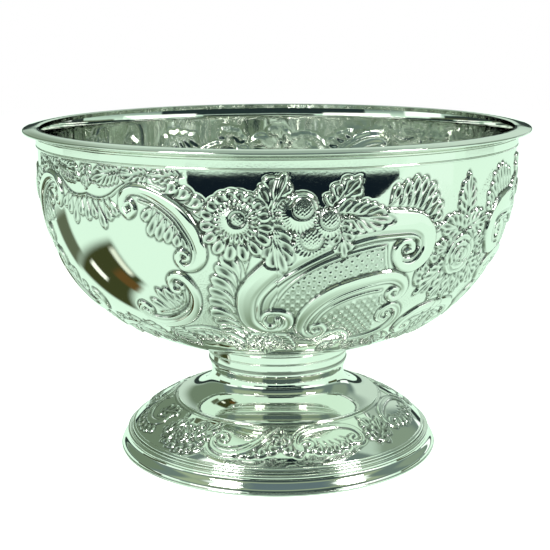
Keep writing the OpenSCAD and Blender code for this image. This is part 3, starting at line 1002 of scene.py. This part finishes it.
def turned(outline: list[Point], steps: int = RING_STEPS, crease: float = 50.0) -> bpy.types.Object:
    """Turns a closed outline into a ring, as on a lathe.

    Args:
        outline: Corners of the section, as radius and height in millimetres.
        steps: Number of steps round the turn.
        crease: Angle, in degrees, above which an edge stays sharp.

    Returns:
        The ring, with no finish yet.
    """
    deselect()
    bpy.ops.mesh.primitive_circle_add(vertices=len(outline), radius=MM)
    piece = bpy.context.object
    corners = [(r * MM, 0.0, z * MM) for r, z in outline]
    piece.data.vertices.foreach_set("co", np.array(corners, float).ravel())
    bpy.ops.object.mode_set(mode="EDIT")
    bpy.ops.mesh.select_all(action="SELECT")
    bpy.ops.mesh.spin(steps=steps, angle=2 * math.pi, center=(0, 0, 0), axis=(0, 0, 1))
    bpy.ops.mesh.select_all(action="SELECT")
    bpy.ops.mesh.remove_doubles(threshold=1e-6)
    bpy.ops.mesh.normals_make_consistent(inside=False)
    bpy.ops.object.mode_set(mode="OBJECT")
    bpy.ops.object.shade_smooth_by_angle(angle=math.radians(crease))
    return piece


def arc(centre: Point, radius: float, start: float, end: float, steps: int = 10) -> list[Point]:
    """Points of an arc, from a start angle to an end angle in degrees, 0 pointing outwards."""
    return [(centre[0] + radius * math.cos(math.radians(start + (end - start) * i / steps)),
             centre[1] + radius * math.sin(math.radians(start + (end - start) * i / steps)))
            for i in range(steps + 1)]


def wire(centre: Point, radius: float, corners: int) -> list[Point]:
    """Round section of a wire, with its corners counted from the outer side."""
    return arc(centre, radius, 0, 360 - 360 / corners, corners - 1)


@dataclass
class SheetGrid:
    """A worked sheet on a closed section: a grid of columns round it and rows along it."""

    radius: np.ndarray
    level: np.ndarray
    out_r: np.ndarray
    out_z: np.ndarray

    def surface(self, turns: np.ndarray, lift: np.ndarray) -> np.ndarray:
        """Places every grid point.

        Args:
            turns: Angle of each column, in radians, 0 at the front.
            lift: How far each point stands off the plain section, rows by columns.

        Returns:
            Places in metres, rows by columns by three.
        """
        r = (self.radius[:, None] + self.out_r[:, None] * lift) * MM
        z = (self.level[:, None] + self.out_z[:, None] * lift) * MM
        return np.stack([r * np.sin(turns), -r * np.cos(turns), z + 0 * turns], -1)


def grid_normals(places: np.ndarray) -> np.ndarray:
    """Normals of a grid of places whose rows close on themselves; the outer columns go."""
    down = np.roll(places, -1, 0) - np.roll(places, 1, 0)
    across = places[:, 2:] - places[:, :-2]
    normals = np.cross(down[:, 1:-1], across)
    length = np.linalg.norm(normals, axis=-1, keepdims=True)
    return normals / np.maximum(length, 1e-12)


def grid_piece(places: np.ndarray, normals: np.ndarray,
               layers: dict[str, np.ndarray], caps: bool) -> bpy.types.Object:
    """Makes a piece from a grid whose rows close on themselves.

    Args:
        places: Places in metres, rows by columns by three.
        normals: Normals, of the same shape.
        layers: Values to keep on the points, each rows by columns.
        caps: Whether the two end columns are closed with a face.

    Returns:
        The piece, with its custom normals, its layers and a flat map of its own.
    """
    rows, columns = places.shape[:2]
    deselect()
    bpy.ops.mesh.primitive_grid_add(x_subdivisions=columns - 1, y_subdivisions=rows, size=2)
    piece = bpy.context.object
    mesh = piece.data
    flat = np.zeros(len(mesh.vertices) * 3)
    mesh.vertices.foreach_get("co", flat)
    flat = flat.reshape(-1, 3)
    column = np.rint((flat[:, 0] + 1) / 2 * (columns - 1)).astype(int)
    row = np.rint((1 - flat[:, 1]) / 2 * rows).astype(int) % rows
    mesh.vertices.foreach_set("co", places[row, column].ravel())
    for name, layer in layers.items():
        attribute = mesh.attributes.new(name, "FLOAT", "POINT")
        attribute.data.foreach_set("value", layer[row, column].astype(np.float32))
    for name, index in (("row", row), ("column", column)):
        mesh.attributes.new(name, "INT", "POINT").data.foreach_set("value", index)
    mesh.uv_layers[0].name = "OFBake"
    bpy.ops.object.mode_set(mode="EDIT")
    bpy.ops.mesh.select_all(action="SELECT")
    bpy.ops.mesh.remove_doubles(threshold=1e-7)
    if caps:
        bpy.ops.mesh.select_mode(type="EDGE")
        bpy.ops.mesh.select_all(action="DESELECT")
        bpy.ops.mesh.select_non_manifold(extend=False, use_boundary=True, use_wire=False,
                                         use_multi_face=False, use_non_contiguous=False,
                                         use_verts=False)
        bpy.ops.mesh.edge_face_add()
    bpy.ops.object.mode_set(mode="OBJECT")
    bpy.ops.object.shade_smooth()
    kept = np.zeros((2, len(mesh.vertices)), int)
    for i, name in enumerate(("row", "column")):
        index = np.zeros(len(mesh.vertices), np.int32)
        mesh.attributes[name].data.foreach_get("value", index)
        kept[i] = index
        mesh.attributes.remove(mesh.attributes[name])
    mesh.normals_split_custom_set_from_vertices(normals[kept[0], kept[1]])
    return piece


@dataclass
class Bowl:
    """The raised bowl: a chased outer face, the back of the chasing inside, and a plain bottom."""

    body_r: float = 141.5
    body_h: float = 123.0
    widest_z: float = 187.6
    top_z: float = 195.7
    wall: float = 1.2
    squareness: float = 2.55
    bottom_r: float = 40.0
    sectors: int = 8
    columns: int = 222
    outer_cell: float = 0.5
    inner_cell: float = 0.95
    plain_cell: float = 2.5
    chased_depth: float = 130.0
    inner_share: float = 0.55
    inner_soft: float = 1.1
    inner_fade: float = 8.0
    plain_top: float = 2.0
    edge_fade: float = 0.8
    map_scale: float = 2.47

    def side(self, reach: float, depth: float, floor_r: float) -> np.ndarray:
        """Fine samples of one face, from the widest line down to the bottom piece."""
        share = np.linspace(0, math.pi / 2, 4000)
        power = 2 / self.squareness
        r = reach * np.cos(share) ** power
        z = self.widest_z - depth * np.sin(share) ** power
        keep = r > floor_r - 0.5
        return np.stack([r[keep], z[keep]], -1)

    def rows(self, line: np.ndarray, cell: float) -> tuple[np.ndarray, ...]:
        """Spaces rows along a face: fine where it is chased, wide on the plain bottom.

        Args:
            line: Fine samples of the face, from its top down.
            cell: Distance between two rows of the chased part.

        Returns:
            Distance down the face, radius, height and outward direction of each row.
        """
        run = np.concatenate([[0], np.cumsum(np.hypot(*np.diff(line, axis=0).T))])
        end = run[-1]
        chased = np.arange(0, min(self.chased_depth, end), cell)
        plain = np.linspace(chased[-1], end, max(3, int((end - chased[-1]) / self.plain_cell)))
        down = np.concatenate([chased, plain[1:]])
        r = np.interp(down, run, line[:, 0])
        z = np.interp(down, run, line[:, 1])
        dr, dz = np.gradient(line[:, 0], run), np.gradient(line[:, 1], run)
        out_r = np.interp(down, run, -dz)
        out_z = np.interp(down, run, dr)
        size = np.hypot(out_r, out_z)
        return down, r, z, out_r / size, out_z / size

    def build(self, chasing: BowlChasing, finish: bpy.types.Material) -> None:
        """Builds the sectors of the wall, and the bottom."""
        sheet = chasing.draw()
        inside_height = soften(sheet.height, self.inner_soft / sheet.step)
        outer = self.rows(self.side(self.body_r, self.body_h, self.bottom_r), self.outer_cell)
        inner = self.rows(self.side(self.body_r - self.wall, self.body_h - self.wall,
                                    self.bottom_r), self.inner_cell)
        mouth = (np.array([self.body_r - self.wall, self.body_r]), np.full(2, self.top_z),
                 np.array([-1.0, 1.0]), np.zeros(2))
        section = SheetGrid(*(np.concatenate([o, i[::-1], m]) for o, i, m in zip(
            outer[1:], inner[1:], mouth)))
        for sector in range(self.sectors):
            turns, folded = self.sector_places(sector, chasing)
            lift, dark, matt = (np.zeros((len(section.radius), len(turns))) for _ in range(3))
            rows = len(outer[0])
            down = np.broadcast_to(outer[0][:, None], (rows, len(turns)))
            place = np.broadcast_to(folded, down.shape)
            fade = ease(down / self.edge_fade)
            lift[:rows] = sheet.read(sheet.height, place, down) * fade
            # The drawing's darkness, tarnishing and painted shade, goes onto the outer face as a layer.
            dark[:rows] = sheet.read(sheet.dark, place, down) * fade
            matt[:rows] = sheet.read(sheet.matt, place, down)
            down = np.broadcast_to(inner[0][::-1][:, None], (len(inner[0]), len(turns)))
            place = np.broadcast_to(folded, down.shape)
            fade = ease((down - self.plain_top) / self.inner_fade)
            lift[rows:rows + len(down)] = (
                sheet.read(inside_height, place, down) * self.inner_share * fade)
            places = section.surface(turns, lift)
            normals = grid_normals(places)
            # The section turns sharply where the wall ends, so its last two normals run on.
            for edge, way in ((rows - 1, -1), (rows, 1)):
                normals[edge] = 2 * normals[edge + way] - normals[edge + 2 * way]
            piece = grid_piece(places[:, 1:-1], normals,
                               {"patina_and_painted_shade": dark[:, 1:-1], "matting": matt[:, 1:-1]}, True)
            dress(piece, f"bowl_wall_{sector + 1}", finish,
                  ("bowl_shell",) if sector == 0 else ())
        self.build_bottom(finish)

    def sector_places(self, sector: int, chasing: BowlChasing) -> tuple[np.ndarray, np.ndarray]:
        """Places the columns of one sector, with one more column beyond each of its ends.

        Args:
            sector: Number of the sector, from 0.
            chasing: The chased work, which is mirrored at both of its edges.

        Returns:
            The angle of each column in radians, and its place across the drawing.
        """
        index = np.arange(-1, self.columns + 2) + sector * self.columns
        turns = index * (2 * math.pi / (self.sectors * self.columns))
        across = np.degrees(turns) * self.map_scale
        period = 2 * (chasing.rose_axis - chasing.cartouche_axis)
        phase = (across - chasing.cartouche_axis) % period
        return turns, chasing.cartouche_axis + np.minimum(phase, period - phase)

    def build_bottom(self, finish: bpy.types.Material) -> None:
        """Turns the plain bottom, which the wall's sectors stand round."""
        share = np.linspace(0, 1, 14)
        power = self.squareness
        radii = self.bottom_r * (1 - share) + POLE_R * share

        def level(r: np.ndarray, reach: float, depth: float) -> np.ndarray:
            """Height of one face of the bottom."""
            return self.widest_z - depth * (1 - (r / reach) ** power) ** (1 / power)

        under = level(radii, self.body_r, self.body_h)
        over = level(radii, self.body_r - self.wall, self.body_h - self.wall)
        outline = list(zip(radii, under)) + list(zip(radii[::-1], over[::-1]))
        piece = turned(outline, BOTTOM_STEPS)
        dress(piece, "bowl_bottom", finish, ())


@dataclass
class Rim:
    """The moulding round the mouth: lip, reed, plain band and bead."""

    inner_r: float = 140.3
    body_r: float = 141.5
    sheet_top_z: float = 195.7
    lip_low_z: float = 194.2
    lip_edge: Point = (149.25, 196.85)
    lip_edge_r: float = 0.75
    reed_r: float = 0.55
    band_top_z: float = 193.1
    band_low_z: float = 189.1
    band_r: float = 142.45
    band_ease: float = 0.2
    bead_r: float = 0.75
    bead_reach: float = 0.4

    def build(self, finish: bpy.types.Material) -> None:
        """Turns the four pieces of the moulding."""
        reed = [(self.body_r, self.band_top_z)] + arc(
            (self.body_r, self.band_top_z + self.reed_r), self.reed_r, -90, 90, 8)
        bead = ([(self.body_r, self.band_low_z - 2 * self.bead_r)]
                + arc((self.body_r + self.bead_reach, self.band_low_z - self.bead_r),
                      self.bead_r, -90, 90, 8)
                + [(self.body_r, self.band_low_z)])
        for outline, crease, name, node in (
                (self.lip(), 50.0, "rim_lip_moulding", "rim_lip"),
                (reed, 50.0, "rim_reed_wire", "rim_reed"),
                (self.band(), 20.0, "rim_plain_band", "rim_band"),
                (bead, 50.0, "rim_half_bead", "rim_bead")):
            dress(turned(outline, crease=crease), name, finish, (node,))

    def lip(self) -> list[Point]:
        """Section of the lip, which hooks over the sheet and turns out to a round edge."""
        below = [(self.body_r, self.lip_low_z), (self.body_r + 1.4, self.lip_low_z),
                 (143.9, 195.0), (145.4, 195.7), (147.2, 196.0)]
        above = [(147.6, 197.95), (145.8, 198.3), (143.6, 198.55), (141.6, 198.6),
                 (140.8, 198.5), (self.inner_r, 198.1), (self.inner_r, self.sheet_top_z),
                 (self.body_r, self.sheet_top_z)]
        return below + arc(self.lip_edge, self.lip_edge_r, -90, 90) + above

    def band(self) -> list[Point]:
        """Section of the plain band: a flat face with its two edges eased."""
        face, back = self.band_r, self.band_r - self.band_ease
        low, top = self.band_low_z, self.band_top_z
        return [(self.body_r, low), (back, low), (face, low + self.band_ease),
                (face, top - self.band_ease), (back, top), (self.body_r, top)]


@dataclass
class Stem:
    """The stem: sleeve, wires, solder and the waisted spool."""

    wall: float = 1.2
    sleeve_low_r: float = 42.4
    sleeve_flare: float = 1.6
    sleeve_top_z: float = 66.9
    collar: Point = (44.85, 66.05)
    collar_r: float = 1.7
    fine_wire: Point = (43.2, 59.35)
    fine_wire_r: float = 0.5
    joint_z: float = 54.1
    neck_flare: float = 1.4
    waist_r: float = 41.0
    waist_z: float = 46.1
    curve_r: float = 66.3
    curve_h: float = 15.4
    curve_cut: float = 4.0
    shoulder: Point = (62.5, 30.3)
    foot_joint: Point = (62.3, 29.5)
    inner_joint: Point = (57.7, 29.5)

    def build(self, finish: bpy.types.Material, solder: bpy.types.Material) -> None:
        """Turns the sleeve, its wires, the solder seams and the spool."""
        seam = [(41.9, 55.3), (42.75, 54.9), (43.05, 54.1), (42.8, 53.3), (41.9, 52.9)]
        fillet = [(41.6, 68.2), (42.8, 68.0), (42.8, 66.2), (42.1, 66.6)]
        for outline, name, material, slot, node in (
                (self.sleeve(), "stem_sleeve_tube", finish, Slot.BRIGHT, "stem_sleeve"),
                (wire(self.collar, self.collar_r, 24), "collar_wire_ring", finish, Slot.BRIGHT,
                 "collar_wire"),
                (wire(self.fine_wire, self.fine_wire_r, 16), "sleeve_wire_ring", finish,
                 Slot.BRIGHT, "sleeve_wire"),
                (seam, "stem_solder_line", solder, Slot.SOLDER, "stem_solder_seam"),
                (fillet, "bowl_solder_line", solder, Slot.SOLDER, "bowl_solder_seam"),
                (self.spool(), "stem_spool_body", finish, Slot.BRIGHT, "stem_spool")):
            dress(turned(outline), name, material, (node,))

    def sleeve(self) -> list[Point]:
        """Section of the sleeve, which flares up to the bowl."""
        outer = []
        for i in range(11):
            share = i / 10
            flare = self.sleeve_flare * (1 + math.cos(math.pi * share)) / 2
            outer.append((self.sleeve_low_r + flare,
                          self.sleeve_top_z - (self.sleeve_top_z - self.joint_z) * share))
        return outer + [(r - self.wall, z) for r, z in reversed(outer)]

    def spool(self) -> list[Point]:
        """Section of the spool: its neck, its waist and its wide shoulder."""
        neck = []
        for i in range(12):
            flare = self.neck_flare * (1 + math.cos(math.pi * i / 12)) / 2
            neck.append((self.waist_r + flare,
                         self.joint_z - (self.joint_z - self.waist_z) * i / 12))
        half_w = self.curve_r - self.waist_r
        end = math.acos(self.curve_cut / half_w)
        half_h = self.curve_h / math.sin(end)
        flare = [(self.curve_r - half_w * math.cos(end * i / 30),
                  self.waist_z - half_h * math.sin(end * i / 30)) for i in range(31)]
        outer = neck + flare + [self.shoulder, self.foot_joint]
        inner = [self.inner_joint]
        for r, z in reversed(neck + flare):
            if r < self.inner_joint[0] - 0.3:
                inner.append((r - 1.0, z) if z > 40 else (r - 0.9, z - 1.1))
        return outer + inner


@dataclass
class Foot:
    """The foot: the chased dome, its beads, and the plain base with its wire."""

    shoulder: Point = (62.3, 29.5)
    skirt: Point = (89.9, 13.7)
    bulge: float = 1.8
    wall: float = 1.2
    columns: int = 1120
    cell: float = 0.5
    map_scale: float = 1.326
    edge_fade: float = 1.0
    reed: Point = (92.05, 11.25)
    reed_r: float = 0.55
    upper_bead_r: float = 1.5
    lower_bead: Point = (93.15, 9.55)
    lower_bead_r: float = 1.15
    bead_z: float = 10.7
    base_top_z: float = 8.4
    base_low_z: float = 2.0
    base_top_r: float = 94.1
    base_spread: float = 3.7
    base_swing: float = 0.38
    base_wall: float = 1.5
    wire_inner_r: float = 94.3
    wire_outer: Point = (97.3, 1.0)

    def build(self, chasing: FootChasing, finish: bpy.types.Material,
              chased: bpy.types.Material) -> None:
        """Builds the dome, and turns the beads, the base band and the base wire."""
        self.build_dome(chasing, chased)
        side = self.skirt[0]
        upper = [(side, self.bead_z)] + arc((side, self.bead_z + self.upper_bead_r),
                                            self.upper_bead_r, -90, 90, 12)
        reed = ([(self.reed[0] - self.reed_r, self.bead_z),
                 (self.reed[0] + self.reed_r, self.bead_z)]
                + arc(self.reed, self.reed_r, 0, 180, 8))
        lower = ([(side, self.base_top_z)]
                 + arc(self.lower_bead, self.lower_bead_r, -90, 90, 12)
                 + [(side, self.bead_z)])
        foot_wire = ([(self.wire_inner_r, 0.0)]
                     + arc(self.wire_outer, self.wire_outer[1], -90, 90, 10)
                     + [(self.wire_inner_r, self.base_low_z)])
        for outline, name, node in ((upper, "foot_upper_bead_ring", "foot_upper_bead"),
                                    (reed, "foot_reed_ring", "foot_reed"),
                                    (lower, "foot_lower_bead_ring", "foot_lower_bead"),
                                    (self.base(), "foot_base_moulding", "foot_base_band"),
                                    (foot_wire, "foot_base_ring", "foot_base_wire")):
            dress(turned(outline), name, finish, (node,))

    def base(self) -> list[Point]:
        """Section of the base band, a shallow S that spreads to the wire."""
        outer = []
        for i in range(17):
            share = i / 16
            swing = -self.base_swing * math.sin(2 * math.pi * share)
            outer.append((self.base_top_r + self.base_spread * share + swing,
                          self.base_top_z - (self.base_top_z - self.base_low_z) * share))
        return outer + [(r - self.base_wall, z) for r, z in reversed(outer)]

    def dome_section(self) -> tuple[SheetGrid, np.ndarray]:
        """Lays out the dome's closed section.

        Returns:
            The section, and the distance down the chased face of each of its first rows.
        """
        start, end = np.array(self.shoulder), np.array(self.skirt)
        along = end - start
        length = float(np.hypot(*along))
        left = np.array([-along[1], along[0]]) / length
        share = np.linspace(0, 1, int(length / self.cell))
        line = (start + share[:, None] * along
                + (4 * share * (1 - share) * self.bulge)[:, None] * left)
        way = headings(line)
        out = np.stack([-way[:, 1], way[:, 0]], -1)
        under = line[::-4] - out[::-4] * self.wall
        skirt = np.array([[end[0], 12.0], [end[0], self.base_top_z],
                          [end[0] - self.wall, self.base_top_z]])
        corners = np.concatenate([line, skirt, under, [[57.7, start[1]]]])
        outward = np.zeros_like(corners)
        outward[:len(line)] = out
        return SheetGrid(*corners.T, *outward.T), share * length

    def build_dome(self, chasing: FootChasing, chased: bpy.types.Material) -> None:
        """Builds the chased dome as one closed sheet."""
        sheet = chasing.draw()
        section, face = self.dome_section()
        rows = len(face)
        turns = np.arange(-1, self.columns + 2) * 2 * math.pi / self.columns
        across = np.degrees(turns) * self.map_scale
        wrapped = (across + chasing.half) % (2 * chasing.half) - chasing.half
        down = np.broadcast_to(face[:, None], (rows, len(turns)))
        place = np.broadcast_to(wrapped, down.shape)
        edge = ease(down / self.edge_fade) * ease((face[-1] - down) / self.edge_fade)
        lift, dark, matt = (np.zeros((len(section.radius), len(turns))) for _ in range(3))
        lift[:rows] = sheet.read(sheet.height, place, down) * edge
        # The drawing's darkness, tarnishing and painted shade, goes onto the dome as a layer.
        dark[:rows] = sheet.read(sheet.dark, place, down)
        matt[:rows] = sheet.read(sheet.matt, place, down) * edge
        places = section.surface(turns, lift)
        piece = grid_piece(places[:, 1:-1], grid_normals(places),
                           {"patina_and_painted_shade": dark[:, 1:-1], "matting": matt[:, 1:-1]}, False)
        dress(piece, "foot_dome_sheet", chased, ("foot_dome",))


# --- Surroundings -----------------------------------------------------------


@dataclass(frozen=True)
class Panel:
    """A patch of the studio that the silver mirrors, placed by direction in degrees.

    Azimuth 0 is towards the camera and grows to the right. A slant lifts the patch's middle by
    that many degrees for each degree of azimuth.
    """

    azimuth: float
    elevation: float
    half_azimuth: float
    half_elevation: float
    colour: tuple[float, float, float]
    soft: float = 4.0
    slant: float = 0.0


@dataclass
class Studio:
    """The pale floor, the lights, the mirrored surroundings and the camera."""

    camera_place: tuple[float, float, float] = (0.0, -0.7235, 0.2653)
    pitch: float = math.radians(12.515)
    yaw: float = math.radians(-0.069)
    roll: float = math.radians(0.227)
    lens: float = 78.7
    white: tuple[float, float, float] = (0.80, 1.07, 0.87)
    low: tuple[float, float, float] = (0.24, 0.34, 0.23)
    high: tuple[float, float, float] = (0.16, 0.23, 0.20)
    low_range: tuple[float, float] = (-85.0, -50.0)
    high_range: tuple[float, float] = (1.0, 10.0)
    floor_r: float = 2.5
    floor_grey: float = 0.9
    floor_glow: float = 0.7
    aim: tuple[float, float, float] = (0.0, 0.0, 0.1)
    panels: tuple[Panel, ...] = (
        Panel(0, 36, 85, 15, (0.36, 0.46, 0.30), 12.0),
        Panel(8, 20, 36, 9, (0.09, 0.13, 0.12), 5.0),
        Panel(180, 42, 35, 16, (0.40, 0.52, 0.42), 12.0),
        Panel(180, 15, 26, 10, (0.60, 0.76, 0.63), 8.0),
        Panel(-117, 48, 15, 7, (0.50, 0.66, 0.54), 5.0),
        Panel(118, 48, 15, 7, (0.50, 0.66, 0.54), 5.0),
        Panel(10, 55, 38, 14, (0.13, 0.19, 0.20), 10.0),
        Panel(-66, 60, 26, 8, (1.2, 1.35, 1.25), 6.0),
        Panel(70, 53, 14, 10, (1.2, 1.35, 1.25), 6.0),
        Panel(-135, 26, 32, 20, (0.17, 0.24, 0.16), 8.0),
        Panel(125, 28, 18, 16, (0.25, 0.34, 0.25), 10.0),
        Panel(-170, 2.6, 72, 2.7, (0.03, 0.045, 0.04), 0.6),
        Panel(8, 8.5, 56, 4.6, (0.02, 0.035, 0.035), 1.0),
        Panel(140, 6, 11, 3, (1.2, 1.35, 1.25), 2.0),
        Panel(-84, 6, 12, 3, (1.2, 1.35, 1.25), 2.0),
        Panel(10, -1.3, 30, 4.5, (0.008, 0.014, 0.015), 1.0),
        Panel(-44, 0, 19, 5.5, (1.6, 1.7, 1.6), 2.0),
        Panel(66, 0, 22, 5.5, (1.6, 1.7, 1.6), 2.0),
        Panel(-102, -1.5, 14, 4.5, (0.08, 0.10, 0.05), 2.0),
        Panel(107, -1.5, 12, 4.5, (0.08, 0.10, 0.05), 2.0),
        Panel(8, -11.2, 49, 3.6, (0.006, 0.012, 0.018), 0.7),
        Panel(6, -18, 24, 6, (0.008, 0.016, 0.02), 2.5),
        Panel(55, -19.5, 33, 10, (0.85, 1.1, 0.92), 0.8, 0.45),
        Panel(-114, -36, 22, 10, (0.05, 0.06, 0.02), 5.0),
        Panel(-131, -20, 8, 6, (0.12, 0.15, 0.09), 4.0),
        Panel(-104, -42, 5, 5, (0.13, 0.075, 0.02), 4.0),
        Panel(-95, -35, 2, 6, (0.9, 1.0, 0.8), 3.0),
        Panel(-120, -33, 2.5, 3.5, (1.2, 1.3, 1.1), 2.0),
    )

    def build(self) -> None:
        """Builds the surroundings in order."""
        self.build_world()
        self.build_floor()
        self.build_lights()
        self.build_camera()

    def build_world(self) -> None:
        """Paints the mirrored surroundings by direction, and a plain white for the eye."""
        world = bpy.data.worlds.new("studio")
        bpy.context.scene.world = world
        world.use_nodes = True
        tree = world.node_tree
        tree.nodes.clear()
        nodes = Nodes(tree)
        way = nodes.add("SeparateXYZ", {0: nodes.add("TexCoord").outputs["Generated"]})
        x, y, z = way.outputs
        azimuth = nodes.math("DEGREES", nodes.math("ARCTAN2", x, nodes.math("MULTIPLY", y, -1.0)))
        elevation = nodes.math("DEGREES", nodes.math("ARCSINE", z))
        rise = nodes.add("MapRange", {0: elevation, 1: self.low_range[0],
                                      2: self.low_range[1]}).outputs[0]
        colour = nodes.blend(rise, (*self.low, 1.0), (*self.white, 1.0))
        rise = nodes.add("MapRange", {0: elevation, 1: self.high_range[0],
                                      2: self.high_range[1]}).outputs[0]
        colour = nodes.blend(rise, colour, (*self.high, 1.0))
        for panel in self.panels:
            shifted = nodes.math("SUBTRACT", azimuth, panel.azimuth)
            shifted = nodes.math("WRAP", shifted, 180.0, -180.0)
            lean = nodes.math("MULTIPLY", shifted, panel.slant)
            level = nodes.math("SUBTRACT", elevation, nodes.math("ADD", lean, panel.elevation))
            shares = []
            for offset, half in ((shifted, panel.half_azimuth), (level, panel.half_elevation)):
                gap = nodes.math("SUBTRACT", nodes.math("ABSOLUTE", offset), half)
                shares.append(nodes.add("MapRange", {
                    0: gap, 1: -panel.soft / 2, 2: panel.soft / 2, 3: 1.0, 4: 0.0},
                    interpolation_type="SMOOTHSTEP").outputs[0])
            share = nodes.math("MULTIPLY", *shares)
            colour = nodes.blend(share, colour, (*panel.colour, 1.0))
        mirrored = nodes.add("Background", {"Color": colour, "Strength": 1.0})
        plain = nodes.add("Background", {"Color": (1.0, 1.0, 1.0, 1.0), "Strength": 1.0})
        seen = nodes.add("LightPath").outputs["Is Camera Ray"]
        mix = nodes.add("MixShader", {0: seen, 1: mirrored.outputs[0], 2: plain.outputs[0]})
        nodes.add("OutputWorld", {0: mix.outputs[0]})

    def build_floor(self) -> None:
        """Lays the plain pale floor, which the silver doesn't mirror."""
        deselect()
        bpy.ops.mesh.primitive_circle_add(vertices=96, radius=self.floor_r, fill_type="NGON")
        floor = bpy.context.object
        floor.name = "floor"
        material = bpy.data.materials.new("floor_paper")
        material.use_nodes = True
        shader = material.node_tree.nodes["Principled BSDF"]
        shader.inputs["Base Color"].default_value = (*[self.floor_grey] * 3, 1.0)
        shader.inputs["Roughness"].default_value = 0.9
        shader.inputs["Emission Color"].default_value = (1.0, 1.0, 1.0, 1.0)
        shader.inputs["Emission Strength"].default_value = self.floor_glow
        floor.data.materials.append(material)
        floor.visible_glossy = False

    def build_lights(self) -> None:
        """Hangs two soft lights."""
        for name, place, size, power in (("key", (-0.9, -0.9, 1.3), 0.5, 14.0),
                                         ("fill", (1.1, -0.6, 1.1), 0.4, 9.0)):
            data = bpy.data.lights.new(name, "AREA")
            data.size = size
            data.energy = power
            lamp = bpy.data.objects.new(name, data)
            lamp.location = place
            lamp.rotation_euler = (Vector(self.aim) - Vector(place)).to_track_quat(
                "-Z", "Y").to_euler()
            bpy.context.scene.collection.objects.link(lamp)

    def build_camera(self) -> None:
        """Sets up the camera."""
        data = bpy.data.cameras.new("camera")
        data.lens = self.lens
        data.sensor_width = 36.0
        camera = bpy.data.objects.new("camera", data)
        camera.location = self.camera_place
        camera.rotation_mode = "XYZ"
        camera.rotation_euler = (math.pi / 2 - self.pitch, self.roll, -self.yaw)
        bpy.context.scene.collection.objects.link(camera)
        bpy.context.scene.camera = camera
        bpy.context.scene.view_settings.view_transform = "Standard"


def main() -> None:
    """Builds the bowl around the frame, piece by piece."""
    logging.basicConfig(level=logging.INFO, format="%(message)s")
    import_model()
    polish = polish_group()
    bright = Silver("polished_silver").make(polish)
    chased = Silver("chased_silver_sheet", chased=True).make(polish)
    solder = Silver("solder_grey", colour=(0.52, 0.55, 0.51), low_rough=0.3, high_rough=0.5,
                    waves=0.5, grain=120.0).make(polish)
    Bowl().build(BowlChasing(), chased)
    Rim().build(bright)
    Stem().build(bright, solder)
    Foot().build(FootChasing(), bright, chased)
    Studio().build()


if __name__ == "__main__":
    main()
